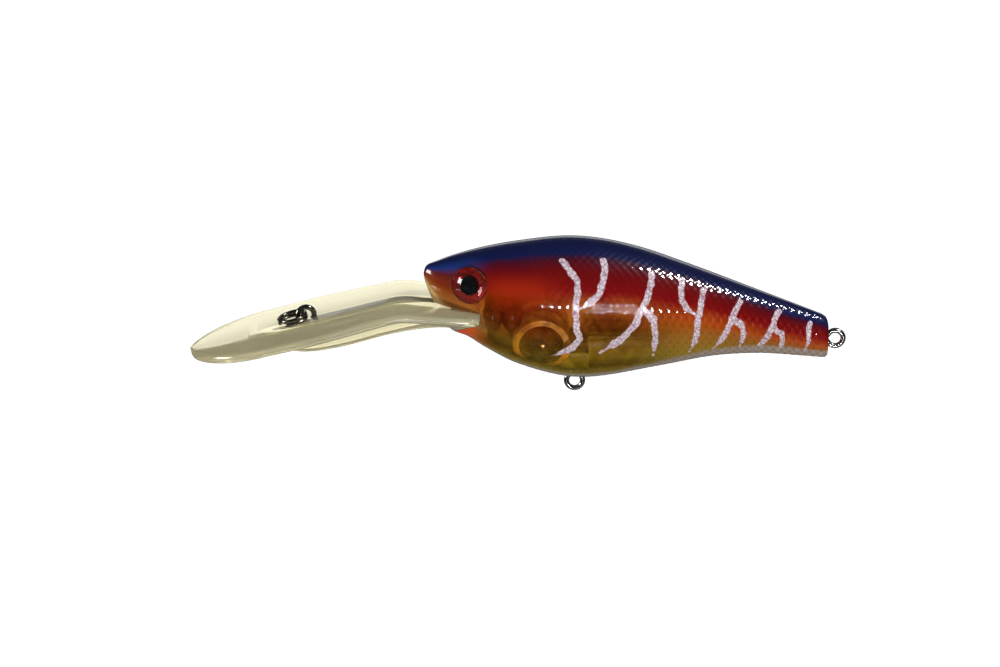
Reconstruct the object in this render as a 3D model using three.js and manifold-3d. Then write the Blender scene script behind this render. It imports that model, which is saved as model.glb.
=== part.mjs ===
// A deep-diving crankbait: a hollow two-part body with a long clear bill, wire hangers,
// domed eyes, two fixed ballast balls and loose rattles. Millimetres, +Z up.
// The drawing frame has x running aft from the nose, y across and z up from a level datum.
// The finished group is moved so that its origin is the centre of the line tie's eye.

import * as THREE from "three";
import { mergeVertices } from "three/addons/utils/BufferGeometryUtils.js";
import Module from "manifold-3d";

const wasm = await Module();
wasm.setup();

// ---------------------------------------------------------------- driving dimensions

const BODY_LENGTH = 70;
const WALL = 1.2; // moulded wall of each body half
const SEAM_GAP = 0.2; // between the two halves
const FIT_GAP = 0.15; // round a piece that sits in another
const FAR = 20; // past the body on every side
const FULLNESS = 2.2; // superellipse power of every cross-section
const WIDEST_AT = 0.55; // share of the depth, from the belly up, where the body is widest

// Side view and plan of the body: [distance aft of the nose, height or half breadth].
const BACK_LINE = [
  [0, 5.4], [0.6, 6.4], [2, 7.0], [5, 8.1], [10, 9.4], [16, 10.5], [24, 11.4], [30, 11.05],
  [37, 9.5], [45, 6.7], [58, 1.7], [68, -2.2], [69.4, -2.9], [70, -3.8],
];
const BELLY_LINE = [
  [0, 4.2], [1, 1.4], [2.2, -1.2], [3.6, -4.0], [5, -5.4], [7.6, -6.4], [10.4, -8.2], [16, -11.2],
  [24, -13.55], [30, -13.7], [41, -11.7], [50, -10.0], [58, -9.6], [66, -10.2], [69.4, -10.45], [70, -10.2],
];
const HALF_BREADTH = [
  [0, 0.8], [2, 2.4], [5, 3.9], [8, 5.2], [12, 6.5], [18, 7.4], [25, 7.7],
  [32, 7.5], [40, 6.8], [48, 5.6], [56, 4.2], [64, 2.8], [70, 2.0],
];

// Bill: a flat blade, a bent knee and a root that is clamped in the mouth.
const BILL_THICKNESS = 1.6;
const BLADE_PITCH = THREE.MathUtils.degToRad(14.5); // down towards the tip
const ROOT_PITCH = THREE.MathUtils.degToRad(5.6); // down towards the tail
const KNEE = { x: -3.2, z: 0.55, radius: 12 }; // the knee's highest point
const BILL_TIP_X = -40.6;
const BILL_END_X = 9.7;
const TIP_ROUND = { length: 13.5, power: 0.6 };
// [distance from the tip along the bill, half breadth], behind the rounded tip.
const BILL_HALF_BREADTH = [[13.5, 10.7], [22, 11.0], [34, 10.0], [40, 9.5], [51, 8.7]];
const BILL_EDGE = 0.45; // chamfer that stands for the rounded edge

// Keel under the bill, which holds the line tie: [x, lowest height] and [x, half thickness].
const KEEL_BOTTOM = [
  [-30, -6.9], [-25.5, -8.6], [-20.5, -9.4], [-14, -8.4], [-6, -6.2], [1, -4.9], [6.5, -4.9],
];
const KEEL_HALF_THICKNESS = [[-30, 0.9], [-20.5, 1.35], [-6, 1.5], [1, 2.2], [6.5, 2.4]];

// Clear root block that fills the mouth under the bill, in side view.
const ROOT_BLOCK = [[0.4, -0.2], [9.4, -1.2], [9.6, -2.7], [4.8, -5.3], [0.4, -5.3]];

// Wire hangers: an outer eye and a buried eye, joined by a pinched neck.
const WIRE = 0.93;
const EYE_RADIUS = 1.405; // of the wire's centre line in the outer eye
const ANCHOR_RADIUS = 1.3; // the same in the buried eye
const NECK_HALF = 0.5; // half the distance between the wires at the neck
const NECK_LENGTH = 0.2; // between the two eyes' centre lines
const END_GAP = 0.3; // between the wire's two ends, in the buried eye
const BELLY_EYE = { x: 26.15, z: -14.8, anchorTurn: Math.PI / 2 };
const TAIL_EYE = { x: 71.25, z: -7.0, anchorTurn: 0 };

// Line tie: a hairpin of the same wire, moulded into the bill, whose bend stands up as an eye.
const TIE_X = -20.2;
const TIE_HEIGHT = 0.75; // eye centre above the bill
const TIE_DEPTH = 0.8; // of the legs below the bill's upper face
const TIE_LEG_HALF = 0.5; // half the distance between the legs
const TIE_END_X = 6.5; // where the legs turn down into the root block
const TIE_END_DROP = 2.2;

// Split ring: two turns of wire.
const RING_OUTER_DIAMETER = 5.4;
const RING_WIRE = 0.62;
const RING_GAP = 0.03; // between its two turns
const RING_STEP_TURN = 0.14; // share of a turn in which the wire steps from one turn to the other
const RING_STEP_AT = THREE.MathUtils.degToRad(235); // place of that step, away from the line tie

// Eyes: distances along the eye's axis are measured from the body's surface.
const EYE = { x: 7.85, z: 4.35, domeRadius: 3.1, domeHeight: 1.15, foilRadius: 2.95, pupilRadius: 1.5 };
const EYE_LAYERS = { floor: -1.1, foil: [-0.95, -0.7], pupil: [-0.55, -0.25], rim: -0.5, pocket: -0.12 };

// Weights and rattles.
const BALLAST = { xs: [11.75, 15.2], z: -2.5, radius: 1.6 };
const BALLAST_BLOCK = { from: 9, to: 17.6, floor: -4.9, roof: 0.2 };
const KNOCKER = { x: 20.3, z: -6.8, radius: 3.0, chamber: 3.9, chamberWall: 1.1 };
const BEAD_RADIUS = 1.3;
const BEAD_COUNT = 4;
const BEAD_GAP = 0.1;
const TUNNEL = { from: 29.2, to: 43, floor: -10.3, roof: -7.4, half: 1.5, wall: 0.8 };
const CAVITY = { from: 10.9, to: 63 };
const LOCATING_PINS = [[19, 5.6], [47.5, -1.6], [58, -4.2]];
const PIN_RADIUS = 1.0;
const PIN_LENGTH = 1.6;
const BOSS_RADIUS = 1.9;

// ---------------------------------------------------------------- materials

const plastic = (color, roughness, opacity = 1) =>
  new THREE.MeshStandardMaterial({ color, roughness, metalness: 0, opacity, transparent: opacity < 1 });
const metal = (color, roughness) => new THREE.MeshStandardMaterial({ color, roughness, metalness: 1 });

const PAINTED_SHELL = plastic(0x8e1b14, 0.18);
const CLEAR_BILL = plastic(0xd8d4b0, 0.08, 0.5);
const STEEL_WIRE = metal(0x9c9890, 0.25);
const CHROME_BALL = metal(0xb8b4ac, 0.12);
const LEAD_BALL = metal(0x6a6a6e, 0.45);
const BRASS_BEAD = metal(0xc99a3a, 0.2);
const RED_FOIL = metal(0xb01712, 0.3);
const BLACK_PUPIL = plastic(0x050505, 0.1);
const CLEAR_DOME = plastic(0xf2f2f2, 0.05, 0.3);

// ---------------------------------------------------------------- curves and solids

// A smooth curve through points sorted by x, as a function of x.
function curveThrough(points) {
  const slope = (i) => {
    const a = points[Math.max(i - 1, 0)];
    const b = points[Math.min(i + 1, points.length - 1)];
    return (b[1] - a[1]) / (b[0] - a[0]);
  };
  return (x) => {
    let i = 0;
    while (i < points.length - 2 && x > points[i + 1][0]) i++;
    const [x0, y0] = points[i];
    const [x1, y1] = points[i + 1];
    const h = x1 - x0;
    const t = THREE.MathUtils.clamp((x - x0) / h, 0, 1);
    const bend = t * t * (3 - 2 * t);
    return (
      y0 * (1 - bend) + y1 * bend +
      h * (slope(i) * t * (1 - t) * (1 - t) - slope(i + 1) * t * t * (1 - t))
    );
  };
}

const backLine = curveThrough(BACK_LINE);
const bellyLine = curveThrough(BELLY_LINE);
const halfBreadth = curveThrough(HALF_BREADTH);

// The upper and lower half axes of the body's cross-section, and the height where it is widest.
function sectionAt(x, inset = 0) {
  const top = backLine(x);
  const bottom = bellyLine(x);
  const middle = bottom + WIDEST_AT * (top - bottom);
  return {
    middle,
    up: top - middle - inset,
    down: middle - bottom - inset,
    half: halfBreadth(x) - inset,
  };
}

// Half breadth of the body's skin at a height.
function skinAt(x, z) {
  const s = sectionAt(x);
  const share = Math.abs(z - s.middle) / (z > s.middle ? s.up : s.down);
  return s.half * (1 - share ** FULLNESS) ** (1 / FULLNESS);
}

// A closed body through rings of points, each ring turning the same way, with flat ends.
function loft(rings) {
  const count = rings[0].length;
  const points = rings.flat();
  const faces = [];
  for (let r = 0; r < rings.length - 1; r++)
    for (let k = 0; k < count; k++) {
      const a = r * count + k;
      const b = r * count + ((k + 1) % count);
      faces.push(a, b, b + count, a, b + count, a + count);
    }
  for (const [ring, turn] of [[0, false], [rings.length - 1, true]]) {
    const centre = points.length;
    const middle = new THREE.Vector3();
    rings[ring].forEach((p) => middle.addScaledVector(p, 1 / count));
    points.push(middle);
    for (let k = 0; k < count; k++) {
      const a = ring * count + k;
      const b = ring * count + ((k + 1) % count);
      faces.push(centre, turn ? a : b, turn ? b : a);
    }
  }
  return new THREE.BufferGeometry().setFromPoints(points).setIndex(faces);
}

function solidOf(geometry) {
  const bare = geometry.clone();
  bare.deleteAttribute("normal");
  bare.deleteAttribute("uv");
  const merged = mergeVertices(bare, 1e-4);
  return new wasm.Manifold(
    new wasm.Mesh({
      numProp: 3,
      vertProperties: merged.attributes.position.array,
      triVerts: new Uint32Array(merged.index.array),
    }),
  );
}

function geometryOf(solid) {
  const { vertProperties, triVerts } = solid.getMesh();
  return new THREE.BufferGeometry()
    .setAttribute("position", new THREE.BufferAttribute(vertProperties, 3))
    .setIndex(new THREE.BufferAttribute(triVerts, 1));
}

const boxSolid = (from, to) =>
  solidOf(
    new THREE.BoxGeometry(...to.map((v, i) => v - from[i])).translate(
      ...to.map((v, i) => (v + from[i]) / 2),
    ),
  );

// A cylinder across the body, from y0 to y1.
const crossCylinder = (x, z, radius, y0, y1, sides = 24) =>
  solidOf(new THREE.CylinderGeometry(radius, radius, y1 - y0, sides).translate(x, (y0 + y1) / 2, z));

// ---------------------------------------------------------------- body

const STATIONS = 26;
const CAVITY_STATIONS = 13;
const RING_POINTS = 24;

function bodyRing(x, inset) {
  const s = sectionAt(x, inset);
  return Array.from({ length: RING_POINTS }, (_, k) => {
    const a = (2 * Math.PI * k) / RING_POINTS;
    const bulge = (v) => Math.sign(v) * Math.abs(v) ** (2 / FULLNESS);
    return new THREE.Vector3(
      x,
      s.half * bulge(Math.cos(a)),
      s.middle + (Math.sin(a) > 0 ? s.up : s.down) * bulge(Math.sin(a)),
    );
  });
}

// Stations crowd together at both ends, where the outline turns fastest.
function bodyLoft(from, to, inset, stations) {
  const rings = Array.from({ length: stations + 1 }, (_, i) =>
    bodyRing(from + (to - from) * (0.5 - 0.5 * Math.cos((Math.PI * i) / stations)), inset),
  );
  return solidOf(loft(rings));
}

// ---------------------------------------------------------------- bill

// Point and direction on the bill's upper face, at a distance aft (+) or forward (-) of the knee's top.
function billPath(s) {
  const pitch = s < 0 ? BLADE_PITCH : ROOT_PITCH;
  const arc = KNEE.radius * pitch;
  const bend = Math.min(Math.abs(s), arc) / KNEE.radius;
  const straight = Math.max(Math.abs(s) - arc, 0);
  const side = Math.sign(s);
  return {
    x: KNEE.x + side * (KNEE.radius * Math.sin(bend) + straight * Math.cos(pitch)),
    z: KNEE.z - KNEE.radius * (1 - Math.cos(bend)) - straight * Math.sin(pitch),
    angle: -side * bend,
  };
}

// Path distance from the knee's top at which the bill reaches x.
function billDistance(x) {
  const side = Math.sign(x - KNEE.x);
  const pitch = side < 0 ? BLADE_PITCH : ROOT_PITCH;
  const reach = KNEE.radius * Math.sin(pitch);
  const run = Math.abs(x - KNEE.x);
  if (run < reach) return side * KNEE.radius * Math.asin(run / KNEE.radius);
  return side * (KNEE.radius * pitch + (run - reach) / Math.cos(pitch));
}

const TIP_DISTANCE = billDistance(BILL_TIP_X);
const END_DISTANCE = billDistance(BILL_END_X);
const billBreadthBehindTip = curveThrough(BILL_HALF_BREADTH);

function billHalfBreadth(s) {
  const fromTip = s - TIP_DISTANCE;
  if (fromTip >= TIP_ROUND.length) return billBreadthBehindTip(fromTip);
  const share = 1 - fromTip / TIP_ROUND.length;
  return BILL_HALF_BREADTH[0][1] * (1 - share * share) ** TIP_ROUND.power;
}

// The point at a distance y across and a height n above the bill's upper face.
function onBill(s, y, n) {
  const { x, z, angle } = billPath(s);
  return new THREE.Vector3(x - Math.sin(angle) * n, y, z + Math.cos(angle) * n);
}

// One cross-section of the bill: a thin plate with chamfered edges, grown by a clearance.
function billRing(s, half, grow) {
  const w = half + grow;
  const edge = Math.min(BILL_EDGE, w / 2);
  const high = grow;
  const low = -BILL_THICKNESS - grow;
  const outline = [
    [w - edge, high], [-w + edge, high], [-w, high - edge], [-w, low + edge],
    [-w + edge, low], [w - edge, low], [w, low + edge], [w, high - edge],
  ];
  return outline.map(([y, n]) => onBill(s, y, n));
}

function billPlate(grow = 0) {
  const tipStations = 9;
  const bladeStations = 3;
  const kneeStations = 4;
  const distances = [];
  for (let i = 1; i <= tipStations; i++)
    distances.push(TIP_DISTANCE + TIP_ROUND.length * (i / tipStations) ** 2);
  const bladeEnd = -KNEE.radius * BLADE_PITCH;
  const bladeStart = TIP_DISTANCE + TIP_ROUND.length;
  for (let i = 1; i <= bladeStations; i++)
    distances.push(bladeStart + ((bladeEnd - bladeStart) * i) / bladeStations);
  const kneeEnd = KNEE.radius * ROOT_PITCH;
  for (let i = 1; i <= kneeStations; i++)
    distances.push(bladeEnd + ((kneeEnd - bladeEnd) * i) / kneeStations);
  distances.push((kneeEnd + END_DISTANCE) / 2, END_DISTANCE - 0.8);
  const rings = distances.map((s) => billRing(s, billHalfBreadth(s), grow));
  rings.unshift(billRing(TIP_DISTANCE - grow, 1.4, grow));
  const cornerRound = 0.7;
  rings.push(billRing(END_DISTANCE + grow, billHalfBreadth(END_DISTANCE) - cornerRound, grow));
  return solidOf(loft(rings));
}

const keelBottom = curveThrough(KEEL_BOTTOM);
const keelHalfThickness = curveThrough(KEEL_HALF_THICKNESS);

function billTopAt(x) {
  return billPath(billDistance(x)).z;
}

function keel(grow = 0) {
  const stations = 14;
  const from = KEEL_BOTTOM[0][0];
  const to = KEEL_BOTTOM[KEEL_BOTTOM.length - 1][0];
  const rings = Array.from({ length: stations + 1 }, (_, i) => {
    const x = from + ((to - from) * i) / stations + (i === stations ? grow : 0);
    const w = keelHalfThickness(x) + grow;
    const top = billTopAt(x) - BILL_THICKNESS / 2;
    const low = Math.min(keelBottom(x), top - 1) - grow;
    const round = 0.35;
    return [
      [w, top], [-w, top], [-w, low + w * round], [-w * (1 - round), low],
      [w * (1 - round), low], [w, low + w * round],
    ].map(([y, z]) => new THREE.Vector3(x, y, z));
  });
  return solidOf(loft(rings));
}

// A clockwise outline with every edge moved outward by the same distance.
function grownOutline(corners, grow) {
  const points = corners.map(([x, z]) => new THREE.Vector2(x, z));
  const outward = (p, q) => new THREE.Vector2(p.y - q.y, q.x - p.x).normalize();
  return points.map((p, i) => {
    const before = outward(points.at(i - 1), p);
    const after = outward(p, points[(i + 1) % points.length]);
    return p.clone().addScaledVector(before.clone().add(after), grow / (1 + before.dot(after)));
  });
}

// The root block's side view as a prism across the head.
function rootPrism(grow = 0) {
  const across = 12;
  const shape = new THREE.Shape(grownOutline(ROOT_BLOCK, grow));
  const prism = new THREE.ExtrudeGeometry(shape, { depth: across, bevelEnabled: false });
  return solidOf(prism.rotateX(Math.PI / 2).translate(0, across / 2, 0));
}

// ---------------------------------------------------------------- hardware

function wireGeometry(points, steps) {
  const section = new THREE.Shape().absarc(0, 0, WIRE / 2, 0, 2 * Math.PI);
  const extrudePath = new THREE.CatmullRomCurve3(points);
  return new THREE.ExtrudeGeometry(section, { steps, curveSegments: 4, extrudePath });
}

const ANCHOR_OFFSET = EYE_RADIUS + ANCHOR_RADIUS + NECK_LENGTH;

// A hanger in its own frame: the outer eye's centre is the origin and the buried eye lies along -X.
function hangerGeometry() {
  const arc = (cx, radius, from, to, count) =>
    Array.from({ length: count }, (_, i) => {
      const a = from + ((to - from) * i) / (count - 1);
      return new THREE.Vector3(cx + radius * Math.cos(a), 0, radius * Math.sin(a));
    });
  const outerNeck = Math.PI - Math.asin(NECK_HALF / EYE_RADIUS);
  const innerNeck = Math.asin(NECK_HALF / ANCHOR_RADIUS);
  const wireEnd = Math.PI - END_GAP / 2 / ANCHOR_RADIUS;
  const points = [
    ...arc(-ANCHOR_OFFSET, ANCHOR_RADIUS, -wireEnd, -innerNeck, 7),
    ...arc(0, EYE_RADIUS, -outerNeck, outerNeck, 17),
    ...arc(-ANCHOR_OFFSET, ANCHOR_RADIUS, innerNeck, wireEnd, 7),
  ];
  return wireGeometry(points, 40);
}

function hangerMesh(name, { x, z, anchorTurn }) {
  const mesh = new THREE.Mesh(hangerGeometry(), STEEL_WIRE);
  mesh.name = name;
  mesh.position.set(x, 0, z);
  mesh.rotation.y = anchorTurn;
  return mesh;
}

// The room moulded for a hanger, with a peg left standing in its buried eye.
function hangerSeat({ x, z, anchorTurn }) {
  const reach = WIRE / 2 + FIT_GAP;
  const neck = new THREE.BoxGeometry(ANCHOR_OFFSET, 2 * reach, 2 * (NECK_HALF + reach))
    .translate(-ANCHOR_OFFSET / 2, 0, 0)
    .rotateY(anchorTurn)
    .translate(x, 0, z);
  const anchorX = x - ANCHOR_OFFSET * Math.cos(anchorTurn);
  const anchorZ = z + ANCHOR_OFFSET * Math.sin(anchorTurn);
  const peg = crossCylinder(anchorX, anchorZ, ANCHOR_RADIUS - reach, -FAR, FAR, 12);
  return solidOf(neck)
    .add(crossCylinder(x, z, EYE_RADIUS + reach, -reach, reach))
    .add(crossCylinder(anchorX, anchorZ, ANCHOR_RADIUS + reach, -reach, reach))
    .subtract(peg);
}

const TIE_DISTANCE = billDistance(TIE_X);
const TIE_END_DISTANCE = billDistance(TIE_END_X);
const TIE_EYE = onBill(TIE_DISTANCE, 0, TIE_HEIGHT);
const TIE_ANGLE = billPath(TIE_DISTANCE).angle;

// One leg forward along the bill, once round the eye, and the other leg back.
function lineTieGeometry() {
  const leg = (y) => {
    const stops = 9;
    const from = TIE_DISTANCE + EYE_RADIUS;
    const along = Array.from({ length: stops }, (_, i) =>
      onBill(from + ((TIE_END_DISTANCE - from) * i) / (stops - 1), y, -TIE_DEPTH),
    );
    return [...along, onBill(TIE_END_DISTANCE + 0.4, y, -TIE_DEPTH - TIE_END_DROP)];
  };
  const eyeStops = 13;
  const openHalf = Math.PI / 5; // of the eye, either side of where the legs meet it
  const eye = Array.from({ length: eyeStops }, (_, i) => {
    const a = openHalf + (2 * (Math.PI - openHalf) * i) / (eyeStops - 1);
    const y = TIE_LEG_HALF * (-1 + (2 * i) / (eyeStops - 1));
    return onBill(TIE_DISTANCE - EYE_RADIUS * Math.sin(a), y, TIE_HEIGHT - EYE_RADIUS * Math.cos(a));
  });
  return wireGeometry([...leg(-TIE_LEG_HALF).reverse(), ...eye, ...leg(TIE_LEG_HALF)], 84);
}

// The room for the line tie in the bill: an open slot at the eye, a tunnel for the legs and
// a drop for their ends.
function lineTieSeat() {
  const reach = WIRE / 2 + FIT_GAP;
  const half = TIE_LEG_HALF + reach;
  const ringAt = (s, low, high) =>
    [[half, high], [-half, high], [-half, low], [half, low]].map(([y, n]) => onBill(s, y, n));
  const prism = (stops, low, high) => solidOf(loft(stops.map((s) => ringAt(s, low, high))));
  const span = (from, to, count) =>
    Array.from({ length: count }, (_, i) => from + ((to - from) * i) / (count - 1));
  const slotHalf = EYE_RADIUS + reach;
  const slot = prism([TIE_DISTANCE - slotHalf, TIE_DISTANCE + slotHalf], -TIE_DEPTH - reach, 3);
  const tunnel = prism(span(TIE_DISTANCE, TIE_END_DISTANCE + 1, 12), -TIE_DEPTH - reach, -TIE_DEPTH + reach);
  const drop = prism(
    [TIE_END_DISTANCE - 0.8, TIE_END_DISTANCE + 1],
    -TIE_DEPTH - TIE_END_DROP - FIT_GAP,
    -TIE_DEPTH,
  );
  return slot.add(tunnel).add(drop);
}

const inPlace = (mesh) => {
  mesh.updateMatrix();
  return solidOf(mesh.geometry.clone().applyMatrix4(mesh.matrix));
};

// Two flat turns of wire in the XY plane. The wire steps up in the space between its two ends.
function splitRingGeometry() {
  const radius = (RING_OUTER_DIAMETER - RING_WIRE) / 2;
  const rise = RING_WIRE + RING_GAP;
  const turns = 2 - RING_STEP_TURN;
  class SplitCoil extends THREE.Curve {
    getPoint(t, target = new THREE.Vector3()) {
      const turn = turns * t;
      const a = 2 * Math.PI * turn + RING_STEP_AT;
      const step = THREE.MathUtils.smoothstep(turn, 1 - RING_STEP_TURN, 1);
      return target.set(radius * Math.cos(a), radius * Math.sin(a), rise * (step - 0.5));
    }
  }
  const section = new THREE.Shape().absarc(0, 0, RING_WIRE / 2, 0, 2 * Math.PI);
  const extrudePath = new SplitCoil();
  return new THREE.ExtrudeGeometry(section, { steps: 52, curveSegments: 4, extrudePath });
}

// ---------------------------------------------------------------- eyes

// Body surface point and outward direction at an eye; side is -1 for the left, +1 for the right.
function eyeSeat(side) {
  const step = 0.01;
  const y = skinAt(EYE.x, EYE.z);
  const alongX = (skinAt(EYE.x + step, EYE.z) - y) / step;
  const alongZ = (skinAt(EYE.x, EYE.z + step) - y) / step;
  return {
    point: new THREE.Vector3(EYE.x, side * y, EYE.z),
    outward: new THREE.Vector3(-alongX, side, -alongZ).normalize(),
  };
}

// A turned piece whose axis is +Z, from a profile of [radius, height] points.
function turned(profile, sides = 24) {
  const points = profile.map(([r, h]) => new THREE.Vector2(r, h));
  return new THREE.LatheGeometry(points, sides).rotateX(Math.PI / 2);
}

function eyeDomeProfile() {
  const { domeRadius: r, domeHeight: h, pupilRadius } = EYE;
  const sphere = (r * r + h * h) / (2 * h);
  const points = [[0, EYE_LAYERS.pocket], [pupilRadius + FIT_GAP, EYE_LAYERS.pocket]];
  points.push([pupilRadius + FIT_GAP, EYE_LAYERS.rim], [r, EYE_LAYERS.rim]);
  const steps = 5;
  for (let i = 0; i <= steps; i++) {
    const a = Math.asin(r / sphere) * (1 - i / steps);
    points.push([i === steps ? 0 : sphere * Math.sin(a), sphere * Math.cos(a) - sphere + h]);
  }
  return points;
}

const disc = (radius, [low, high]) => [[0, low], [radius, low], [radius, high], [0, high]];

function eyeGroup(sideName, side) {
  const group = new THREE.Group();
  const { point, outward } = eyeSeat(side);
  group.position.copy(point);
  group.quaternion.setFromUnitVectors(new THREE.Vector3(0, 0, 1), outward);
  const layers = [
    ["foil", turned(disc(EYE.foilRadius, EYE_LAYERS.foil)), RED_FOIL],
    ["pupil", turned(disc(EYE.pupilRadius, EYE_LAYERS.pupil)), BLACK_PUPIL],
    ["dome", turned(eyeDomeProfile()), CLEAR_DOME],
  ];
  for (const [layer, geometry, material] of layers) {
    const mesh = new THREE.Mesh(geometry, material);
    mesh.name = `eye_${sideName}_${layer}`;
    group.add(mesh);
  }
  return group;
}

function eyeSocket(side) {
  const { point, outward } = eyeSeat(side);
  const depth = 4;
  const socket = new THREE.Mesh(
    turned(disc(EYE.domeRadius + FIT_GAP, [EYE_LAYERS.floor, EYE_LAYERS.floor + depth])),
  );
  socket.position.copy(point);
  socket.quaternion.setFromUnitVectors(new THREE.Vector3(0, 0, 1), outward);
  return inPlace(socket);
}

// ---------------------------------------------------------------- body halves

const outerBody = bodyLoft(0, BODY_LENGTH, 0, STATIONS);
const cavity = bodyLoft(CAVITY.from, CAVITY.to, WALL, CAVITY_STATIONS);

function halfSpace(side) {
  const inner = (side * SEAM_GAP) / 2;
  const outer = side * FAR;
  return boxSolid(
    [-FAR, Math.min(inner, outer), -FAR],
    [BODY_LENGTH + FAR, Math.max(inner, outer), FAR],
  );
}

// Ribs and blocks moulded inside both halves.
function insideRibs() {
  const chamberOuter = KNOCKER.chamber + KNOCKER.chamberWall;
  const chamber = crossCylinder(KNOCKER.x, KNOCKER.z, chamberOuter, -FAR, FAR, 32);
  const b = BALLAST_BLOCK;
  const cradle = boxSolid([b.from, -FAR, b.floor], [b.to, FAR, b.roof]);
  const anchorHalf = 2.5;
  const anchorBlock = boxSolid(
    [BELLY_EYE.x - anchorHalf, -anchorHalf, BELLY_EYE.z],
    [BELLY_EYE.x + anchorHalf, anchorHalf, BELLY_EYE.z + 6],
  );
  const t = TUNNEL;
  const tunnel = boxSolid(
    [t.from - t.wall, -t.half - t.wall, t.floor - 3],
    [t.to + t.wall, t.half + t.wall, t.roof + t.wall],
  );
  return chamber.add(cradle).add(anchorBlock).add(tunnel);
}

// What the ribs leave open for the weights and rattles.
function insidePockets() {
  const knockerRoom = crossCylinder(KNOCKER.x, KNOCKER.z, KNOCKER.chamber, -FAR, FAR, 32)
    .intersect(cavity);
  const ballastHalf = BALLAST.radius + FIT_GAP;
  const ballastRoom = BALLAST.xs
    .map((x) => crossCylinder(x, BALLAST.z, ballastHalf, -ballastHalf, ballastHalf, 16))
    .reduce((a, b) => a.add(b));
  const t = TUNNEL;
  const beadRoom = boxSolid([t.from, -t.half, t.floor], [t.to, t.half, t.roof]);
  return knockerRoom.add(ballastRoom).add(beadRoom);
}

// Bosses on the parting plane: pins on the left half, sockets on the right.
function bosses() {
  return LOCATING_PINS
    .map(([x, z]) => crossCylinder(x, z, BOSS_RADIUS, -FAR, FAR, 16))
    .reduce((a, b) => a.add(b));
}

const seatsOfFittings = [
  billPlate(FIT_GAP),
  keel(FIT_GAP),
  rootPrism(FIT_GAP),
  eyeSocket(-1),
  eyeSocket(1),
  hangerSeat(BELLY_EYE),
  hangerSeat(TAIL_EYE),
].reduce((a, b) => a.add(b));

function bodyHalf(side) {
  const moulded = outerBody
    .subtract(cavity)
    .add(insideRibs().add(bosses()).intersect(outerBody))
    .subtract(insidePockets())
    .subtract(seatsOfFittings)
    .intersect(halfSpace(side));
  const pins = LOCATING_PINS.map(([x, z]) => {
    const grow = side < 0 ? 0 : FIT_GAP;
    return crossCylinder(x, z, PIN_RADIUS + grow, -1.5, PIN_LENGTH + grow, 16);
  }).reduce((a, b) => a.add(b));
  return side < 0 ? moulded.add(pins) : moulded.subtract(pins);
}

function shellMesh(name, side) {
  const mesh = new THREE.Mesh(geometryOf(bodyHalf(side)), PAINTED_SHELL);
  mesh.name = name;
  return mesh;
}

function billMesh() {
  const rootBlock = rootPrism().intersect(outerBody);
  const whole = billPlate().add(keel()).add(rootBlock).subtract(lineTieSeat());
  const mesh = new THREE.Mesh(geometryOf(whole), CLEAR_BILL);
  mesh.name = "bill";
  return mesh;
}

function ballMesh(name, x, z, radius, material) {
  const mesh = new THREE.Mesh(new THREE.SphereGeometry(radius, 16, 10), material);
  mesh.name = name;
  mesh.position.set(x, 0, z);
  return mesh;
}

// The split ring lies forward on the bill, threaded through the line tie.
function splitRingMesh() {
  const mesh = new THREE.Mesh(splitRingGeometry(), STEEL_WIRE);
  mesh.name = "split_ring";
  const reach = (RING_OUTER_DIAMETER - RING_WIRE) / 2;
  mesh.position.set(
    TIE_EYE.x - reach * Math.cos(TIE_ANGLE),
    0,
    TIE_EYE.z - reach * Math.sin(TIE_ANGLE),
  );
  mesh.rotation.y = -TIE_ANGLE;
  return mesh;
}

function lineTieMesh() {
  const mesh = new THREE.Mesh(lineTieGeometry(), STEEL_WIRE);
  mesh.name = "line_tie_wire";
  return mesh;
}

// ---------------------------------------------------------------- assembly

const lure = new THREE.Group();
lure.add(shellMesh("body_left", -1), shellMesh("body_right", 1), billMesh());
lure.add(hangerMesh("belly_hanger", BELLY_EYE), hangerMesh("tail_hanger", TAIL_EYE));
lure.add(lineTieMesh(), splitRingMesh(), eyeGroup("left", -1), eyeGroup("right", 1));
BALLAST.xs.forEach((x, i) =>
  lure.add(ballMesh(`ballast_ball_${i + 1}`, x, BALLAST.z, BALLAST.radius, LEAD_BALL)),
);
const knockerDrop = KNOCKER.chamber - KNOCKER.radius - BEAD_GAP;
lure.add(ballMesh("knocker_ball", KNOCKER.x, KNOCKER.z - knockerDrop, KNOCKER.radius, CHROME_BALL));
for (let i = 0; i < BEAD_COUNT; i++) {
  const x = TUNNEL.from + BEAD_GAP + BEAD_RADIUS + i * (2 * BEAD_RADIUS + BEAD_GAP);
  const z = TUNNEL.floor + BEAD_GAP + BEAD_RADIUS;
  lure.add(ballMesh(`rattle_bead_${i + 1}`, x, z, BEAD_RADIUS, BRASS_BEAD));
}
lure.position.set(-TIE_EYE.x, 0, -TIE_EYE.z);

const part = new THREE.Group();
part.add(lure);
export default part;
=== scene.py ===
# %% [markdown]
# # A deep-diving crankbait
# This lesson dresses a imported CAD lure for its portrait. The CAD fixes where everything is and how
# it moves. Blender gives each piece its fine surface: a painted, scaled and partly see-through body,
# a clear bill with a wire inside it, domed eyes, and the ballast and rattles that show through.

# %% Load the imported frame
import bisect
import math

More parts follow.
